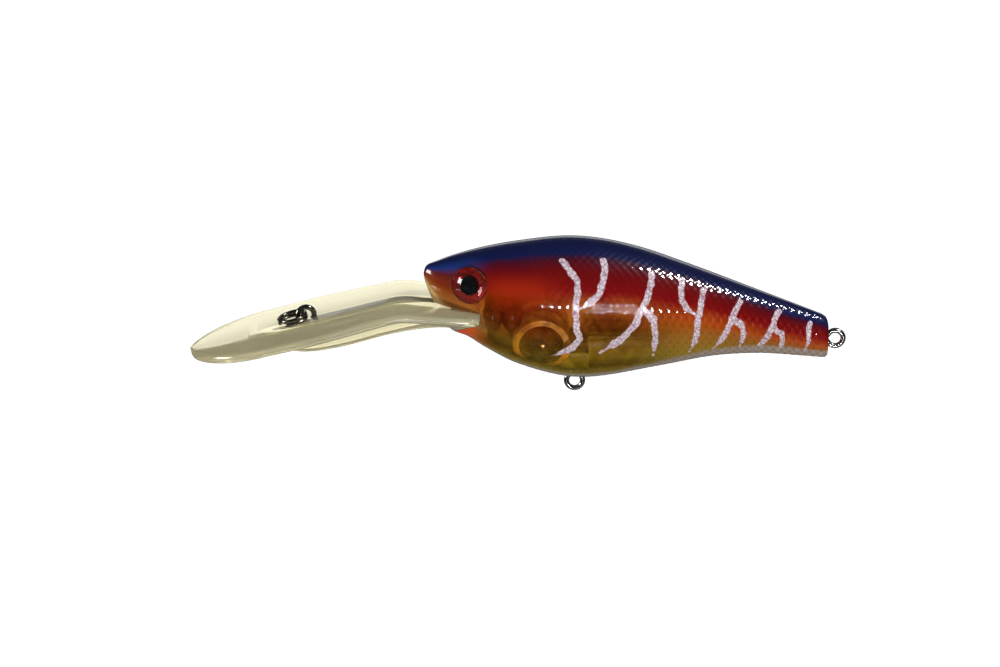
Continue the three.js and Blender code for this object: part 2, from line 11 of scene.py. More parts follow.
import bpy
import numpy as np
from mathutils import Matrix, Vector


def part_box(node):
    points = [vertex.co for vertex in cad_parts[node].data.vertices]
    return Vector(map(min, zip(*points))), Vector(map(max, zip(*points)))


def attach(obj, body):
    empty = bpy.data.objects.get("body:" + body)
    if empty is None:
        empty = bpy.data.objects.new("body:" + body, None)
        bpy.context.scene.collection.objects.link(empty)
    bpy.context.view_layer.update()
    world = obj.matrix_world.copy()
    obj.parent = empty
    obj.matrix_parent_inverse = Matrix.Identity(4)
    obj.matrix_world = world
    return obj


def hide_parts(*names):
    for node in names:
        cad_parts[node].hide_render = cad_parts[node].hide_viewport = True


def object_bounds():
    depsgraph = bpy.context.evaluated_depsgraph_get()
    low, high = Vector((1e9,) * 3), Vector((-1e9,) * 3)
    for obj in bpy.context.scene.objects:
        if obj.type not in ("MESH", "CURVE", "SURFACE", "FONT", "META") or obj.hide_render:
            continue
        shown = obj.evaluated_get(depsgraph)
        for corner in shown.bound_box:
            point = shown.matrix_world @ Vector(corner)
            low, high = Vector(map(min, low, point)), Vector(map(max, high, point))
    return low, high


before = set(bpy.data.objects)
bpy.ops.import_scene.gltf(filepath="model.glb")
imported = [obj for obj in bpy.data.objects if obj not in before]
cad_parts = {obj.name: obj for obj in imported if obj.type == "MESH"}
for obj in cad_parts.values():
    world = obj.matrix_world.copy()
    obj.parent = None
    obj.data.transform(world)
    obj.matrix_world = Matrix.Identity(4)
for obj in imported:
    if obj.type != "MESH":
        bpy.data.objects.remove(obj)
cad_low, cad_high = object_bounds()

# %% [markdown]
# ## One drawing frame
# A lure is drawn in millimetres: x aft of the nose, y to its right and z above a level line.
# The frame says where that drawing lies. The nose is the body's lowest x, and the tail hanger's eye
# is 7 mm below the level line, so both are read from the CAD instead of being typed in again.

# %% Millimetres, and a drawing point in the frame
MM = 0.001
NOSE_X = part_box("body_left")[0].x
tail_low, tail_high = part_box("tail_hanger")
LEVEL_Z = (tail_low.z + tail_high.z) / 2 + 7.0 * MM


def at(x, y, z):
    """A drawing point, given in millimetres, as a place in the frame."""
    return Vector((NOSE_X + x * MM, y * MM, LEVEL_Z + z * MM))


print("nose at", round(NOSE_X, 5), "level line at", round(LEVEL_Z, 5))

# %% [markdown]
# ## The camera
# A long lens far away keeps the near and far sides of a small product the same size. The camera
# looks down on the lure by 20 degrees, squarely from its left side.

# %% Place the camera
LENS = 120
SENSOR = 36
VIEW_WIDTH = 173.3 * MM
LOOK_DOWN = math.radians(20)
aim = at(13.17, 0, -6.18)
bpy.ops.object.camera_add()
camera = bpy.context.object
camera.data.lens = LENS
camera.data.sensor_width = SENSOR
camera.data.clip_start = 0.01
camera.data.clip_end = 50
away = Vector((0, -math.cos(LOOK_DOWN), math.sin(LOOK_DOWN)))
camera.location = aim + away * (VIEW_WIDTH * LENS / SENSOR)
camera.rotation_euler = (-away).to_track_quat("-Z", "Y").to_euler()
bpy.context.scene.camera = camera
print("camera", round((camera.location - aim).length, 3), "m away")

# %% [markdown]
# ## Small helpers
# Every piece ends the same way: its place is in its mesh, it rides on a body, the CAD node it stands
# for is hidden and it takes its material. One helper does that for all of them; the normals are
# turned outwards where each piece is built.

# %% Helpers for selecting, finishing and joining pieces
def only(*objects):
    """Selects these objects and nothing else."""
    if bpy.context.object and bpy.context.object.mode != "OBJECT":
        bpy.ops.object.mode_set(mode="OBJECT")
    bpy.ops.object.select_all(action="DESELECT")
    for o in objects:
        o.select_set(True)
    bpy.context.view_layer.objects.active = objects[0]


def settle(piece):
    """Moves a piece's place, turn and scale into its mesh."""
    only(piece)
    bpy.ops.object.transform_apply(location=True, rotation=True, scale=True)


def open_mesh(piece, select="SELECT"):
    """Goes into a piece's mesh with all of it selected, or none."""
    only(piece)
    bpy.ops.object.mode_set(mode="EDIT")
    bpy.ops.mesh.select_all(action=select)


def close_mesh():
    bpy.ops.object.mode_set(mode="OBJECT")


def tidy_mesh(piece, merge=1e-6):
    """Merges doubles, fills slivers and turns every face outwards on a closed piece."""
    open_mesh(piece)
    bpy.ops.mesh.remove_doubles(threshold=merge)
    bpy.ops.mesh.fill_holes(sides=3)
    bpy.ops.mesh.normals_make_consistent(inside=False)
    close_mesh()


def finish_piece(piece, name, body, node, slot, material, smooth_angle):
    """Names a piece, smooths it, gives it its material and ties it to the frame."""
    settle(piece)
    piece.name = name
    piece.data.name = name
    bpy.ops.object.shade_smooth_by_angle(angle=math.radians(smooth_angle))
    if material:
        piece.data.materials.clear()
        piece.data.materials.append(material)
    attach(piece, body)
    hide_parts(node)
    print(f"{name}: {len(piece.data.polygons)} faces on {body}")


def boolean(piece, cutter, operation):
    """Cuts, joins or keeps the common part of two closed pieces, and removes the second."""
    only(piece)
    modifier = piece.modifiers.new(operation.lower(), "BOOLEAN")
    modifier.object = cutter
    modifier.operation = operation
    modifier.solver = "EXACT"
    bpy.ops.object.modifier_apply(modifier=modifier.name)
    bpy.data.objects.remove(cutter)
    return piece


def curve_through(points):
    """A smooth curve through points sorted by x, as a function of x."""
    xs, ys = zip(*points)
    last = len(xs) - 1
    slopes = [
        (ys[min(i + 1, last)] - ys[max(i - 1, 0)]) / (xs[min(i + 1, last)] - xs[max(i - 1, 0)])
        for i in range(len(xs))
    ]

    def value(x):
        i = min(max(bisect.bisect_right(xs, x) - 1, 0), last - 1)
        h = xs[i + 1] - xs[i]
        t = min(max((x - xs[i]) / h, 0), 1)
        blend = t * t * (3 - 2 * t)
        rise = slopes[i] * t * (1 - t) ** 2 - slopes[i + 1] * t * t * (1 - t)
        return ys[i] * (1 - blend) + ys[i + 1] * blend + h * rise

    return value


# %% [markdown]
# ## The body's lines
# A lure's body is drawn as three lines: its back, its belly and its half breadth. A section at any
# place is a squarish oval between them. These are the lines that the CAD was lofted on, so the fine
# skin lies on the coarse one.

# %% Back, belly and breadth
BODY_LENGTH = 70.0
FULLNESS = 2.2
WIDEST_AT = 0.55
back_line = curve_through([
    (0, 5.4), (0.6, 6.4), (2, 7.0), (5, 8.1), (10, 9.4), (16, 10.5), (24, 11.4), (30, 11.05),
    (37, 9.5), (45, 6.7), (58, 1.7), (68, -2.2), (69.4, -2.9), (70, -3.8),
])
belly_line = curve_through([
    (0, 4.2), (1, 1.4), (2.2, -1.2), (3.6, -4.0), (5, -5.4), (7.6, -6.4), (10.4, -8.2), (16, -11.2),
    (24, -13.55), (30, -13.7), (41, -11.7), (50, -10.0), (58, -9.6), (66, -10.2), (69.4, -10.45),
    (70, -10.2),
])
half_breadth = curve_through([
    (0, 0.8), (2, 2.4), (5, 3.9), (8, 5.2), (12, 6.5), (18, 7.4), (25, 7.7),
    (32, 7.5), (40, 6.8), (48, 5.6), (56, 4.2), (64, 2.8), (70, 2.0),
])


def section(x, inset=0.0):
    """Middle height, upper and lower half axes and half breadth of the body at x."""
    top, bottom = back_line(x), belly_line(x)
    middle = bottom + WIDEST_AT * (top - bottom)
    return middle, top - middle - inset, middle - bottom - inset, half_breadth(x) - inset


def bulge(value):
    return math.copysign(abs(value) ** (2 / FULLNESS), value)


def skin_point(x, angle, inset=0.0):
    """A point of the right-hand skin: angle runs from 90 at the back to -90 at the belly."""
    middle, up, down, half = section(x, inset)
    rise = bulge(math.sin(math.radians(angle)))
    axis = up if rise > 0 else down
    return Vector((x, half * bulge(math.cos(math.radians(angle))), middle + axis * rise))


print("depth at the deepest:", round(back_line(26) - belly_line(26), 1), "mm")

# %% [markdown]
# ## Scales and gill plate
# The flank is covered with raised scales from behind the gill plate to the tail. They could be a
# bump in the material, but then the outline and the exported mesh would be smooth. Here the skin's
# own vertices are pressed in between the scales by a tenth of a millimetre, which real light catches.

# %% Relief of the skin
SCALE_LENGTH = 1.39
SCALE_ROW = 0.9
SCALE_DEPTH = 0.09
GILL_DEPTH, GILL_HALF_WIDTH = 0.09, 0.4
CLEARANCE, BACK_CLEARANCE = 0.02, 0.045
gill_edge = curve_through([
    (-60, 15.5), (-35, 18.6), (-8, 20.6), (20, 20.6), (45, 19.2), (70, 17.0),
])


def girth_radius(x):
    """Mean radius of the section, which turns an angle into a distance over the skin."""
    middle, up, down, half = section(x)
    return math.sqrt((((up + down) / 2) ** 2 + half**2) / 2)


def scale_height(x, around):
    """How high a point stands on its scale: 1 on the crown and 0 in the groove."""
    nearest = 9.0
    for shift in (0.0, 0.5):
        dx = ((x / SCALE_LENGTH + shift) % 1 - 0.5) * 2
        dr = ((around / (2 * SCALE_ROW) + shift) % 1 - 0.5) * 2
        nearest = min(nearest, (dx + 0.35 * dr * dr) ** 2 + dr * dr)
    return max(0.0, 1 - nearest)


def smoothstep(low, high, value):
    t = min(max((value - low) / (high - low), 0), 1)
    return t * t * (3 - 2 * t)


def relief(x, angle):
    """Depth pressed into the skin at a point, in millimetres."""
    behind_gill = smoothstep(0.3, 1.6, x - gill_edge(angle))
    clear_of_back = 1 - smoothstep(60, 74, angle)
    clear_of_end = 1 - smoothstep(67.5, 69, x)
    around = math.radians(angle) * girth_radius(x)
    scales = (1 - scale_height(x, around)) * behind_gill * clear_of_back * clear_of_end
    off_gill = abs(x - gill_edge(angle)) / GILL_HALF_WIDTH
    gill = max(0.0, 1 - off_gill**2) * smoothstep(-62, -50, angle) * (1 - smoothstep(48, 62, angle))
    inside_cad = CLEARANCE + BACK_CLEARANCE * smoothstep(55, 80, angle)
    return inside_cad + SCALE_DEPTH * scales + GILL_DEPTH * gill


# %% [markdown]
# ## The two halves
# Each half is a grid that is laid on the body's lines, closed over the tail, lined with a coarse
# inner wall and joined to it along the parting plane. A half that is really hollow lets the painted
# skin turn see-through in places, so that the ballast and rattles behind it show.

# %% Lay a grid on the lines
SEAM_HALF = 0.012
CAVITY_FROM = 10.9
CAVITY_TO = 63.0
WALL = 1.2
TAIL_ROUND = 0.5
NOSE_ROUND = 0.22
END_CLOSING = 0.24  # how much closer the columns stand at the nose and tail than in the middle


def grid_piece(columns, rows, place):
    """A primitive grid whose vertices are moved to place(column share, row share)."""
    bpy.ops.mesh.primitive_grid_add(x_subdivisions=columns, y_subdivisions=rows, size=1)
    piece = bpy.context.object
    for vertex in piece.data.vertices:
        vertex.co = place(vertex.co.x + 0.5, vertex.co.y + 0.5)
    return piece


def outer_place(side):
    """Places the fine skin. The last share of the columns closes the tail's end face."""
    cap = 0.03

    def place(u, v):
        angle = 90 - 180 * v
        closing = max(0.0, (u - (1 - cap)) / cap)
        run = min(u / (1 - cap), 1)
        x = BODY_LENGTH * (run - END_CLOSING * math.sin(2 * math.pi * run) / (2 * math.pi))
        p = skin_point(x, angle)
        middle = section(x)[0]
        out = Vector((0, p.y, p.z - middle))
        length = max(out.length, 1e-6)
        inward = relief(x, angle) if out.length > 0.4 else 0.0
        into_tail = max(x - BODY_LENGTH + TAIL_ROUND, 0)
        inward += TAIL_ROUND - math.sqrt(max(TAIL_ROUND**2 - into_tail**2, 0))
        share = max(1 - inward / length, 0) * (1 - closing)
        if x < NOSE_ROUND:
            share *= math.sqrt(1 - (1 - x / NOSE_ROUND) ** 2)
        y = max(out.y * share, SEAM_HALF)
        return at(x, side * y, middle + out.z * share)

    return place


def inner_place(side):
    """Places the smooth inner wall, closed at both ends of the cavity."""
    cap = 0.06

    def place(u, v):
        angle = 90 - 180 * v
        share = min(1.0, u / cap, (1 - u) / cap)
        run = min(max((u - cap) / (1 - 2 * cap), 0), 1)
        x = CAVITY_FROM + (CAVITY_TO - CAVITY_FROM) * run
        p = skin_point(x, angle, WALL)
        middle = section(x)[0]
        return at(x, side * max(p.y * share, SEAM_HALF), middle + (p.z - middle) * share)

    return place


painted_skin = bpy.data.materials.new("painted_skin")
inner_wall = bpy.data.materials.new("inner_wall")


def body_half(side):
    """A closed half of the hollow body, painted outside and lined with the inner wall's finish."""
    outer = grid_piece(380, 160, outer_place(side))
    inner = grid_piece(64, 30, inner_place(side))
    outer.data.materials.append(painted_skin)
    inner.data.materials.append(inner_wall)
    only(outer, inner)
    bpy.ops.object.join()
    half = bpy.context.object
    open_mesh(half)
    bpy.ops.mesh.remove_doubles(threshold=2e-6)
    bpy.ops.mesh.select_all(action="DESELECT")
    bpy.ops.mesh.select_mode(type="EDGE")
    bpy.ops.mesh.select_non_manifold()
    bpy.context.object.active_material_index = 1
    bpy.ops.mesh.fill(use_beauty=False)
    bpy.ops.object.material_slot_assign()
    bpy.ops.mesh.select_mode(type="VERT")
    close_mesh()
    tidy_mesh(half)
    return half


# %% [markdown]
# ## The bill's lines
# The bill is one clear moulding: a flat blade, a bent knee, and a root clamped in the mouth. Its
# cross-section is a thin plate with round edges, carried along a bent line. A keel under it stiffens
# the blade and holds the line tie's wire.

# %% The bill's path, outline and sections
BILL_THICKNESS = 1.6
BLADE_PITCH = math.radians(14.5)
ROOT_PITCH = math.radians(5.6)
KNEE_X, KNEE_Z, KNEE_RADIUS = -3.2, 0.55, 12.0
BILL_TIP_X, BILL_END_X = -40.6, 9.7
TIP_LENGTH, TIP_POWER = 13.5, 0.6
bill_breadth_behind_tip = curve_through([(13.5, 10.7), (22, 11.0), (34, 10.0), (40, 9.5), (51, 8.7)])
keel_bottom = curve_through([
    (-30, -6.9), (-25.5, -8.6), (-20.5, -9.4), (-14, -8.4), (-6, -6.2), (1, -4.9), (6.5, -4.9),
])
keel_half = curve_through([(-30, 0.9), (-20.5, 1.35), (-6, 1.5), (1, 2.2), (6.5, 2.4)])


def bill_point(s, y, n):
    """A point at s along the bill from its knee, y across and n above its upper face."""
    pitch = BLADE_PITCH if s < 0 else ROOT_PITCH
    side = 1 if s > 0 else -1
    bend = min(abs(s), KNEE_RADIUS * pitch) / KNEE_RADIUS
    straight = max(abs(s) - KNEE_RADIUS * pitch, 0)
    x = KNEE_X + side * (KNEE_RADIUS * math.sin(bend) + straight * math.cos(pitch))
    z = KNEE_Z - KNEE_RADIUS * (1 - math.cos(bend)) - straight * math.sin(pitch)
    angle = -side * bend
    return Vector((x - math.sin(angle) * n, y, z + math.cos(angle) * n)), angle


def bill_distance(x):
    """Distance along the bill from its knee at which it reaches x."""
    side = 1 if x > KNEE_X else -1
    pitch = BLADE_PITCH if side < 0 else ROOT_PITCH
    reach = KNEE_RADIUS * math.sin(pitch)
    run = abs(x - KNEE_X)
    if run < reach:
        return side * KNEE_RADIUS * math.asin(run / KNEE_RADIUS)
    return side * (KNEE_RADIUS * pitch + (run - reach) / math.cos(pitch))


TIP_S, END_S = bill_distance(BILL_TIP_X), bill_distance(BILL_END_X)


def bill_half_breadth(s):
    from_tip = s - TIP_S
    if from_tip >= TIP_LENGTH:
        corner = min(max(0.0, s - (END_S - 1.5)) / 1.5, 1.0)
        return bill_breadth_behind_tip(from_tip) - 1.2 * (1 - math.sqrt(1 - corner**2))
    return 10.7 * (1 - (1 - from_tip / TIP_LENGTH) ** 2) ** TIP_POWER


def loft(rings):
    """A closed piece through rings of points, from a primitive grid that is wrapped round."""
    columns, rows = len(rings) - 1, len(rings[0])

    def place(u, v):
        return at(*rings[round(u * columns)][round(v * rows) % rows])

    piece = grid_piece(columns, rows, place)
    open_mesh(piece)
    bpy.ops.mesh.remove_doubles(threshold=1e-7)
    bpy.ops.mesh.select_all(action="DESELECT")
    bpy.ops.mesh.select_non_manifold()
    bpy.ops.mesh.edge_face_add()
    close_mesh()
    tidy_mesh(piece, 1e-7)
    return piece


def plate_ring(s):
    """The plate's cross-section at s, with edges rounded on half its thickness."""
    half = max(bill_half_breadth(s), 0.3)
    edge = min(BILL_THICKNESS / 2, half * 0.9)
    ring = []
    for side in (1, -1):
        for i in range(9):
            a = math.pi / 2 - math.pi * i / 8 if side > 0 else -math.pi / 2 - math.pi * i / 8
            y = side * (half - edge) + edge * math.cos(a)
            n = -BILL_THICKNESS / 2 + BILL_THICKNESS / 2 * math.sin(a)
            ring.append(bill_point(s, y, n)[0])
    return ring


# %% [markdown]
# The bill is joined from the plate, the keel and the root block. The block fills the open mouth, and
# it is trimmed by the head's own shape so that it ends flush with the cheeks.

# %% Build the clear bill
TIP_STATIONS, BLADE_STATIONS, KEEL_STATIONS = 36, 56, 48
KEEL_FROM, KEEL_TO = -30, 6.5
ROOT_OUTLINE = [(0.4, -0.2), (9.4, -1.2), (9.6, -2.7), (4.8, -5.3), (0.4, -5.3)]


def prism(outline, half_width):
    """A side-view outline carried across the lure."""
    bpy.ops.mesh.primitive_circle_add(vertices=len(outline), radius=1, fill_type="NGON")
    piece = bpy.context.object
    for vertex, (x, z) in zip(piece.data.vertices, outline):
        vertex.co = at(x, -half_width, z)
    open_mesh(piece)
    bpy.ops.mesh.extrude_region_move(TRANSFORM_OT_translate={"value": (0, 2 * half_width * MM, 0)})
    close_mesh()
    tidy_mesh(piece)
    return piece


def body_solid(inset, from_x, to_x):
    """The body's shape between two places as one closed solid, some way inside its skin."""
    rings = []
    for i in range(49):
        x = from_x + (to_x - from_x) * i / 48
        ring = []
        for k in range(64):
            angle = 90 - 180 * k / 32
            side = 1 if angle > -90 else -1
            p = skin_point(x, angle if side > 0 else -180 - angle, inset)
            ring.append((p.x, side * p.y, p.z))
        rings.append(ring)
    return loft(rings)


def keel_ring(x):
    """The keel's cross-section: a flare under the blade, straight sides and a round foot."""
    w, low = keel_half(x), keel_bottom(x)
    top = bill_point(bill_distance(x), 0, 0)[0].z - BILL_THICKNESS / 2
    low = min(low, top - 0.9)
    flare = [(w + 1.0, top), (w + 0.45, top - 1.05), (w + 0.12, top - 1.4), (w, top - 1.9)]
    flare = [(y, max(z, low + 0.5 * w)) for y, z in flare]
    foot = [(w * math.cos(a), low + 0.5 * w * (1 - math.sin(a))) for a in (0.3, 0.7, 1.1, 1.4)]
    near = flare + foot
    return [(x, y, z) for y, z in near] + [(x, -y, z) for y, z in reversed(near)]


def make_bill():
    stations = [TIP_S + TIP_LENGTH * (i / TIP_STATIONS) ** 2 for i in range(TIP_STATIONS)]
    rest = END_S - (TIP_S + TIP_LENGTH)
    stations += [TIP_S + TIP_LENGTH + rest * i / BLADE_STATIONS for i in range(BLADE_STATIONS + 1)]
    plate = loft([plate_ring(s) for s in stations])
    keel_run = KEEL_TO - KEEL_FROM
    keel = loft([keel_ring(KEEL_FROM + keel_run * i / KEEL_STATIONS) for i in range(KEEL_STATIONS + 1)])
    root = boolean(prism(ROOT_OUTLINE, 6.5), body_solid(0.03, 0.02, 12), "INTERSECT")
    return boolean(boolean(plate, keel, "UNION"), root, "UNION")


bill = make_bill()

# %% [markdown]
# ## Openings in the head
# The mouth is a wedge that the bill's root fills, and each eye sits in a round socket that leans
# with the cheek. Both are cut from the halves with booleans, because the skin's grid runs past them.

# %% Eye seats
EYE_X, EYE_Z = 7.85, 4.35
DOME_RADIUS, DOME_HEIGHT = 3.1, 1.15
FOIL_RADIUS, PUPIL_RADIUS = 2.95, 1.5
SOCKET_FLOOR = -1.1


def skin_breadth(x, z):
    middle, up, down, half = section(x)
    share = abs(z - middle) / (up if z > middle else down)
    return half * (1 - share**FULLNESS) ** (1 / FULLNESS)


def eye_seat(side):
    """The place and the outward direction of an eye; side is -1 on the left and 1 on the right."""
    step = 0.01
    y = skin_breadth(EYE_X, EYE_Z)
    along_x = (skin_breadth(EYE_X + step, EYE_Z) - y) / step
    along_z = (skin_breadth(EYE_X, EYE_Z + step) - y) / step
    return at(EYE_X, side * y, EYE_Z), Vector((-along_x, side, -along_z)).normalized()


def turned_piece(profile, sides=64):
    """A turned piece on the z axis: a circle is extruded and resized from point to point."""
    (r, h), rest = profile[0], profile[1:]
    bpy.ops.mesh.primitive_circle_add(
        vertices=sides, radius=r * MM, fill_type="TRIFAN", location=(0, 0, h * MM),
    )
    piece = bpy.context.object
    settle(piece)
    open_mesh(piece, "DESELECT")
    bpy.ops.mesh.select_mode(type="EDGE")
    bpy.ops.mesh.select_non_manifold()
    for next_r, next_h in rest:
        lift = (0, 0, (next_h - h) * MM)
        bpy.ops.mesh.extrude_edges_move(TRANSFORM_OT_translate={"value": lift})
        k = next_r / r
        bpy.ops.transform.resize(value=(k, k, 1), center_override=(0, 0, next_h * MM))
        r, h = next_r, next_h
    bpy.ops.mesh.fill(use_beauty=False)
    bpy.ops.mesh.select_mode(type="VERT")
    close_mesh()
    tidy_mesh(piece)
    return piece


def seat_on(piece, side):
    """Stands a turned piece on an eye's seat."""
    place, outward = eye_seat(side)
    piece.rotation_mode = "QUATERNION"
    piece.rotation_quaternion = Vector((0, 0, 1)).rotation_difference(outward)
    piece.location = place
    settle(piece)
    return piece


# %% Cut the mouth and the eye sockets
MOUTH_OUTLINE = [(-2, 0.5), (9.85, -0.62), (9.9, -2.62), (4.85, -5.38), (-2, -5.38)]


def make_half(side):
    half = body_half(side)
    boolean(half, prism(MOUTH_OUTLINE, 9), "DIFFERENCE")
    socket = turned_piece([(3.25, SOCKET_FLOOR), (3.25, 0.2), (3.45, 3.0)], 48)
    boolean(half, seat_on(socket, side), "DIFFERENCE")
    return half


halves = {side: make_half(side) for side in (-1, 1)}
print("halves:", [len(h.data.polygons) for h in halves.values()])

# %% [markdown]
# ## Where the paint goes
# The pattern follows the body, not the camera, so the skin carries its own measures as attributes:
# how far round the girth each point is, how high it stands on its scale, and how far it is from the
# nearest pale stripe. The stripes are forked strokes, drawn as short lines of (x, angle) points.

# %% Stripes and skin attributes
STRIPES = [
    [
        (23.7, 50), (24.9, 40), (26.3, 28), (26.4, 18), (26.1, 5), (26.2, -9), (26.9, -17),
        (25.6, -25), (22.2, -36),
    ],
    [(30.8, 53), (31.0, 41), (30.7, 28), (30.0, 17), (28.2, 8), (26.4, 3)],
    [(39.0, 48), (39.0, 36), (38.4, 18), (37.3, 4), (36.3, -6), (34.0, -18), (30.4, -30)],
    [(37.7, 5), (39.5, -3), (39.8, -17), (39.5, -40)],
    [(44.3, 50), (44.1, 34), (44.3, 20), (45.2, 10), (46.8, 4)],
    [(48.0, 43), (47.7, 28), (47.4, 11), (47.0, -4), (46.8, -22), (45.8, -42)],
    [(54.5, 38), (53.5, 18), (52.6, -3), (51.5, -22), (50.0, -42)],
    [(52.8, 4), (54.6, 0), (55.1, -13), (54.4, -44)],
    [(61.2, 40), (60.3, 10), (59.4, -14), (56.8, -52)],
    [(60.2, -1), (61.8, -8), (61.8, -26), (61.1, -52)],
    [(66.6, 30), (66.3, 3), (66.5, -13), (65.9, -40)],
]
STRIPE_HALF_WIDTH = 0.55


def girth_angle(x, y, z):
    """The angle round the section, from the same squarish oval that laid the skin."""
    middle, up, down, half = section(x)
    rise = (z - middle) / (up if z > middle else down)
    upright = math.copysign(min(abs(rise), 1.2) ** (FULLNESS / 2), rise)
    return math.degrees(math.atan2(upright, min(abs(y) / max(half, 0.1), 1.2) ** (FULLNESS / 2)))


def stripe_distance(points):
    """Distance of each flattened skin point from the nearest stripe's edge, in millimetres."""
    nearest = np.full(len(points), 99.0)
    for stripe in STRIPES:
        flat = [np.array((x, math.radians(angle) * girth_radius(x))) for x, angle in stripe]
        tail_of_stripe = points - flat[-1]
        for k, (a, b) in enumerate(zip(flat, flat[1:])):
            along = np.clip(((points - a) @ (b - a)) / ((b - a) @ (b - a)), 0, 1)
            near = a + along[:, None] * (b - a)
            width = STRIPE_HALF_WIDTH * (1 - 0.25 * smoothstep(30, 68, a[0]))
            taper = np.clip(np.hypot(*tail_of_stripe.T) / 2.5, 0.35, 1.0)
            nearest = np.minimum(nearest, np.hypot(*(points - near).T) - width * taper)
    return nearest


def measure_skin(half):
    mesh = half.data
    co = np.array([v.co for v in mesh.vertices]) / MM
    xs = np.clip(co[:, 0] - NOSE_X / MM, 0, BODY_LENGTH)
    zs = co[:, 2] - LEVEL_Z / MM
    angles = np.array([girth_angle(x, y, z) for x, y, z in zip(xs, co[:, 1], zs)])
    around = np.radians(angles) * np.array([girth_radius(x) for x in xs])
    scales = np.array([scale_height(x, r) for x, r in zip(xs, around)])
    behind = np.array([smoothstep(0.3, 1.6, x - gill_edge(a)) for x, a in zip(xs, angles)])
    measures = {
        "aft": xs,
        "girth": angles,
        "scale": scales * behind,
        "scaled": behind,
        "stripe": stripe_distance(np.column_stack((xs, around))),
    }
    for name, values in measures.items():
        layer = mesh.attributes.new(name, "FLOAT", "POINT")
        layer.data.foreach_set("value", values.astype(np.float32))


for half in halves.values():
    measure_skin(half)
print("stripes:", len(STRIPES))

# %% [markdown]
# ## Materials
# Each finish is a small node tree. Two effects are shared, so they are node groups: fine grime and
# handling marks for roughness, and a soft mask that turns a measured distance into a painted edge.

# %% Node helpers and shared groups
def new_material(name):
    material = bpy.data.materials.get(name) or bpy.data.materials.new(name)
    material.use_nodes = True
    return material, material.node_tree, material.node_tree.nodes["Principled BSDF"]


def plug(tree, node, **links):
    """Links or sets a node's inputs by name, or by number as i0, i1 and so on."""
    for key, value in links.items():
        numbered = key[0] == "i" and key[1:].isdigit()
        socket = node.inputs[int(key[1:]) if numbered else key.replace("_", " ")]
        if isinstance(value, bpy.types.NodeSocket):
            tree.links.new(value, socket)
        else:
            socket.default_value = value


def add_node(tree, kind, settings=None, **links):
    """Adds a node, sets its properties and plugs its inputs."""
    node = tree.nodes.new(kind)
    for key, value in (settings or {}).items():
        setattr(node, key, value)
    plug(tree, node, **links)
    return node


def math_node(tree, operation, a, b, clamp=False):
    settings = {"operation": operation, "use_clamp": clamp}
    return add_node(tree, "ShaderNodeMath", settings, i0=a, i1=b).outputs[0]


def add(tree, a, b):
    return math_node(tree, "ADD", a, b)


def times(tree, product, *factors):
    for factor in factors:
        product = math_node(tree, "MULTIPLY", product, factor)
    return product


def one_minus(tree, value):
    return math_node(tree, "SUBTRACT", 1.0, value)


def mix_colour(tree, factor, a, b):
    """Goes from colour a to colour b; a plain colour is given as three numbers."""
    a, b = ((*c, 1) if isinstance(c, tuple) else c for c in (a, b))
    return add_node(tree, "ShaderNodeMix", {"data_type": "RGBA"}, i0=factor, i6=a, i7=b).outputs[2]


def ramp(tree, value, stops):
    """A colour ramp with given stops of (position, colour)."""
    node = add_node(tree, "ShaderNodeValToRGB", i0=value)
    elements = node.color_ramp.elements
    while len(elements) < len(stops):
        elements.new(0.5)
    for element, (position, colour) in zip(elements, stops):
        element.position = position
        element.color = (*colour, 1)
    return node.outputs[0]


def span(tree, value, low, high, to_low=0.0, to_high=1.0):
    """A soft step from to_low to to_high as a value passes from low to high."""
    settings = {"interpolation_type": "SMOOTHSTEP"}
    limits = {"i1": low, "i2": high, "i3": to_low, "i4": to_high}
    return add_node(tree, "ShaderNodeMapRange", settings, i0=value, **limits).outputs[0]


def object_coordinates(tree):
    return add_node(tree, "ShaderNodeTexCoord").outputs["Object"]


def noise(tree, scale, detail=3.0):
    where = object_coordinates(tree)
    return add_node(tree, "ShaderNodeTexNoise", Vector=where, Scale=scale, Detail=detail).outputs[0]


def effect_group(name, output, defaults, build):
    """A node group with named number inputs and one output, filled in by build."""
    group = bpy.data.node_groups.new(name, "ShaderNodeTree")
    for label, value in defaults.items():
        socket = group.interface.new_socket(label, in_out="INPUT", socket_type="NodeSocketFloat")
        socket.default_value = value
    group.interface.new_socket(output, in_out="OUTPUT", socket_type="NodeSocketFloat")
    source = group.nodes.new("NodeGroupInput")
    sink = group.nodes.new("NodeGroupOutput")
    group.links.new(build(group, source.outputs), sink.inputs[0])
    return group


def use_group(tree, group, **values):
    return add_node(tree, "ShaderNodeGroup", {"node_tree": group}, **values).outputs[0]


def sees_backdrop(tree):
    """1 where the backdrop is seen straight or through clear plastic, and 0 where it is reflected."""
    path = add_node(tree, "ShaderNodeLightPath").outputs
    bounced = math_node(tree, "ADD", path["Glossy Depth"], path["Diffuse Depth"], clamp=True)
    through = times(tree, path["Is Transmission Ray"], one_minus(tree, bounced))
    return math_node(tree, "ADD", path["Is Camera Ray"], through, clamp=True)


def build_wear(tree, given):
    coarse, fine = noise(tree, given["Patch Size"], 4.0), noise(tree, 5200.0, 2.0)
    rubbed = times(tree, span(tree, coarse, 0.42, 0.68), given["Amount"])
    dusty = times(tree, span(tree, fine, 0.45, 0.75), given["Amount"], 0.4)
    return math_node(tree, "ADD", given["Base"], add(tree, rubbed, dusty), clamp=True)


def build_soft_edge(tree, given):
    ragged = math_node(tree, "SUBTRACT", noise(tree, 900.0), 0.5)
    moved = add(tree, given["Distance"], times(tree, ragged, given["Raggedness"]))
    return span(tree, moved, given["Softness"], times(tree, given["Softness"], -1.0))


handling_wear = effect_group(
    "handling_wear", "Roughness", {"Base": 0.1, "Amount": 0.08, "Patch Size": 160.0}, build_wear,
)
soft_edge = effect_group(
    "soft_edge", "Mask", {"Distance": 0.0, "Raggedness": 0.4, "Softness": 0.08}, build_soft_edge,
)


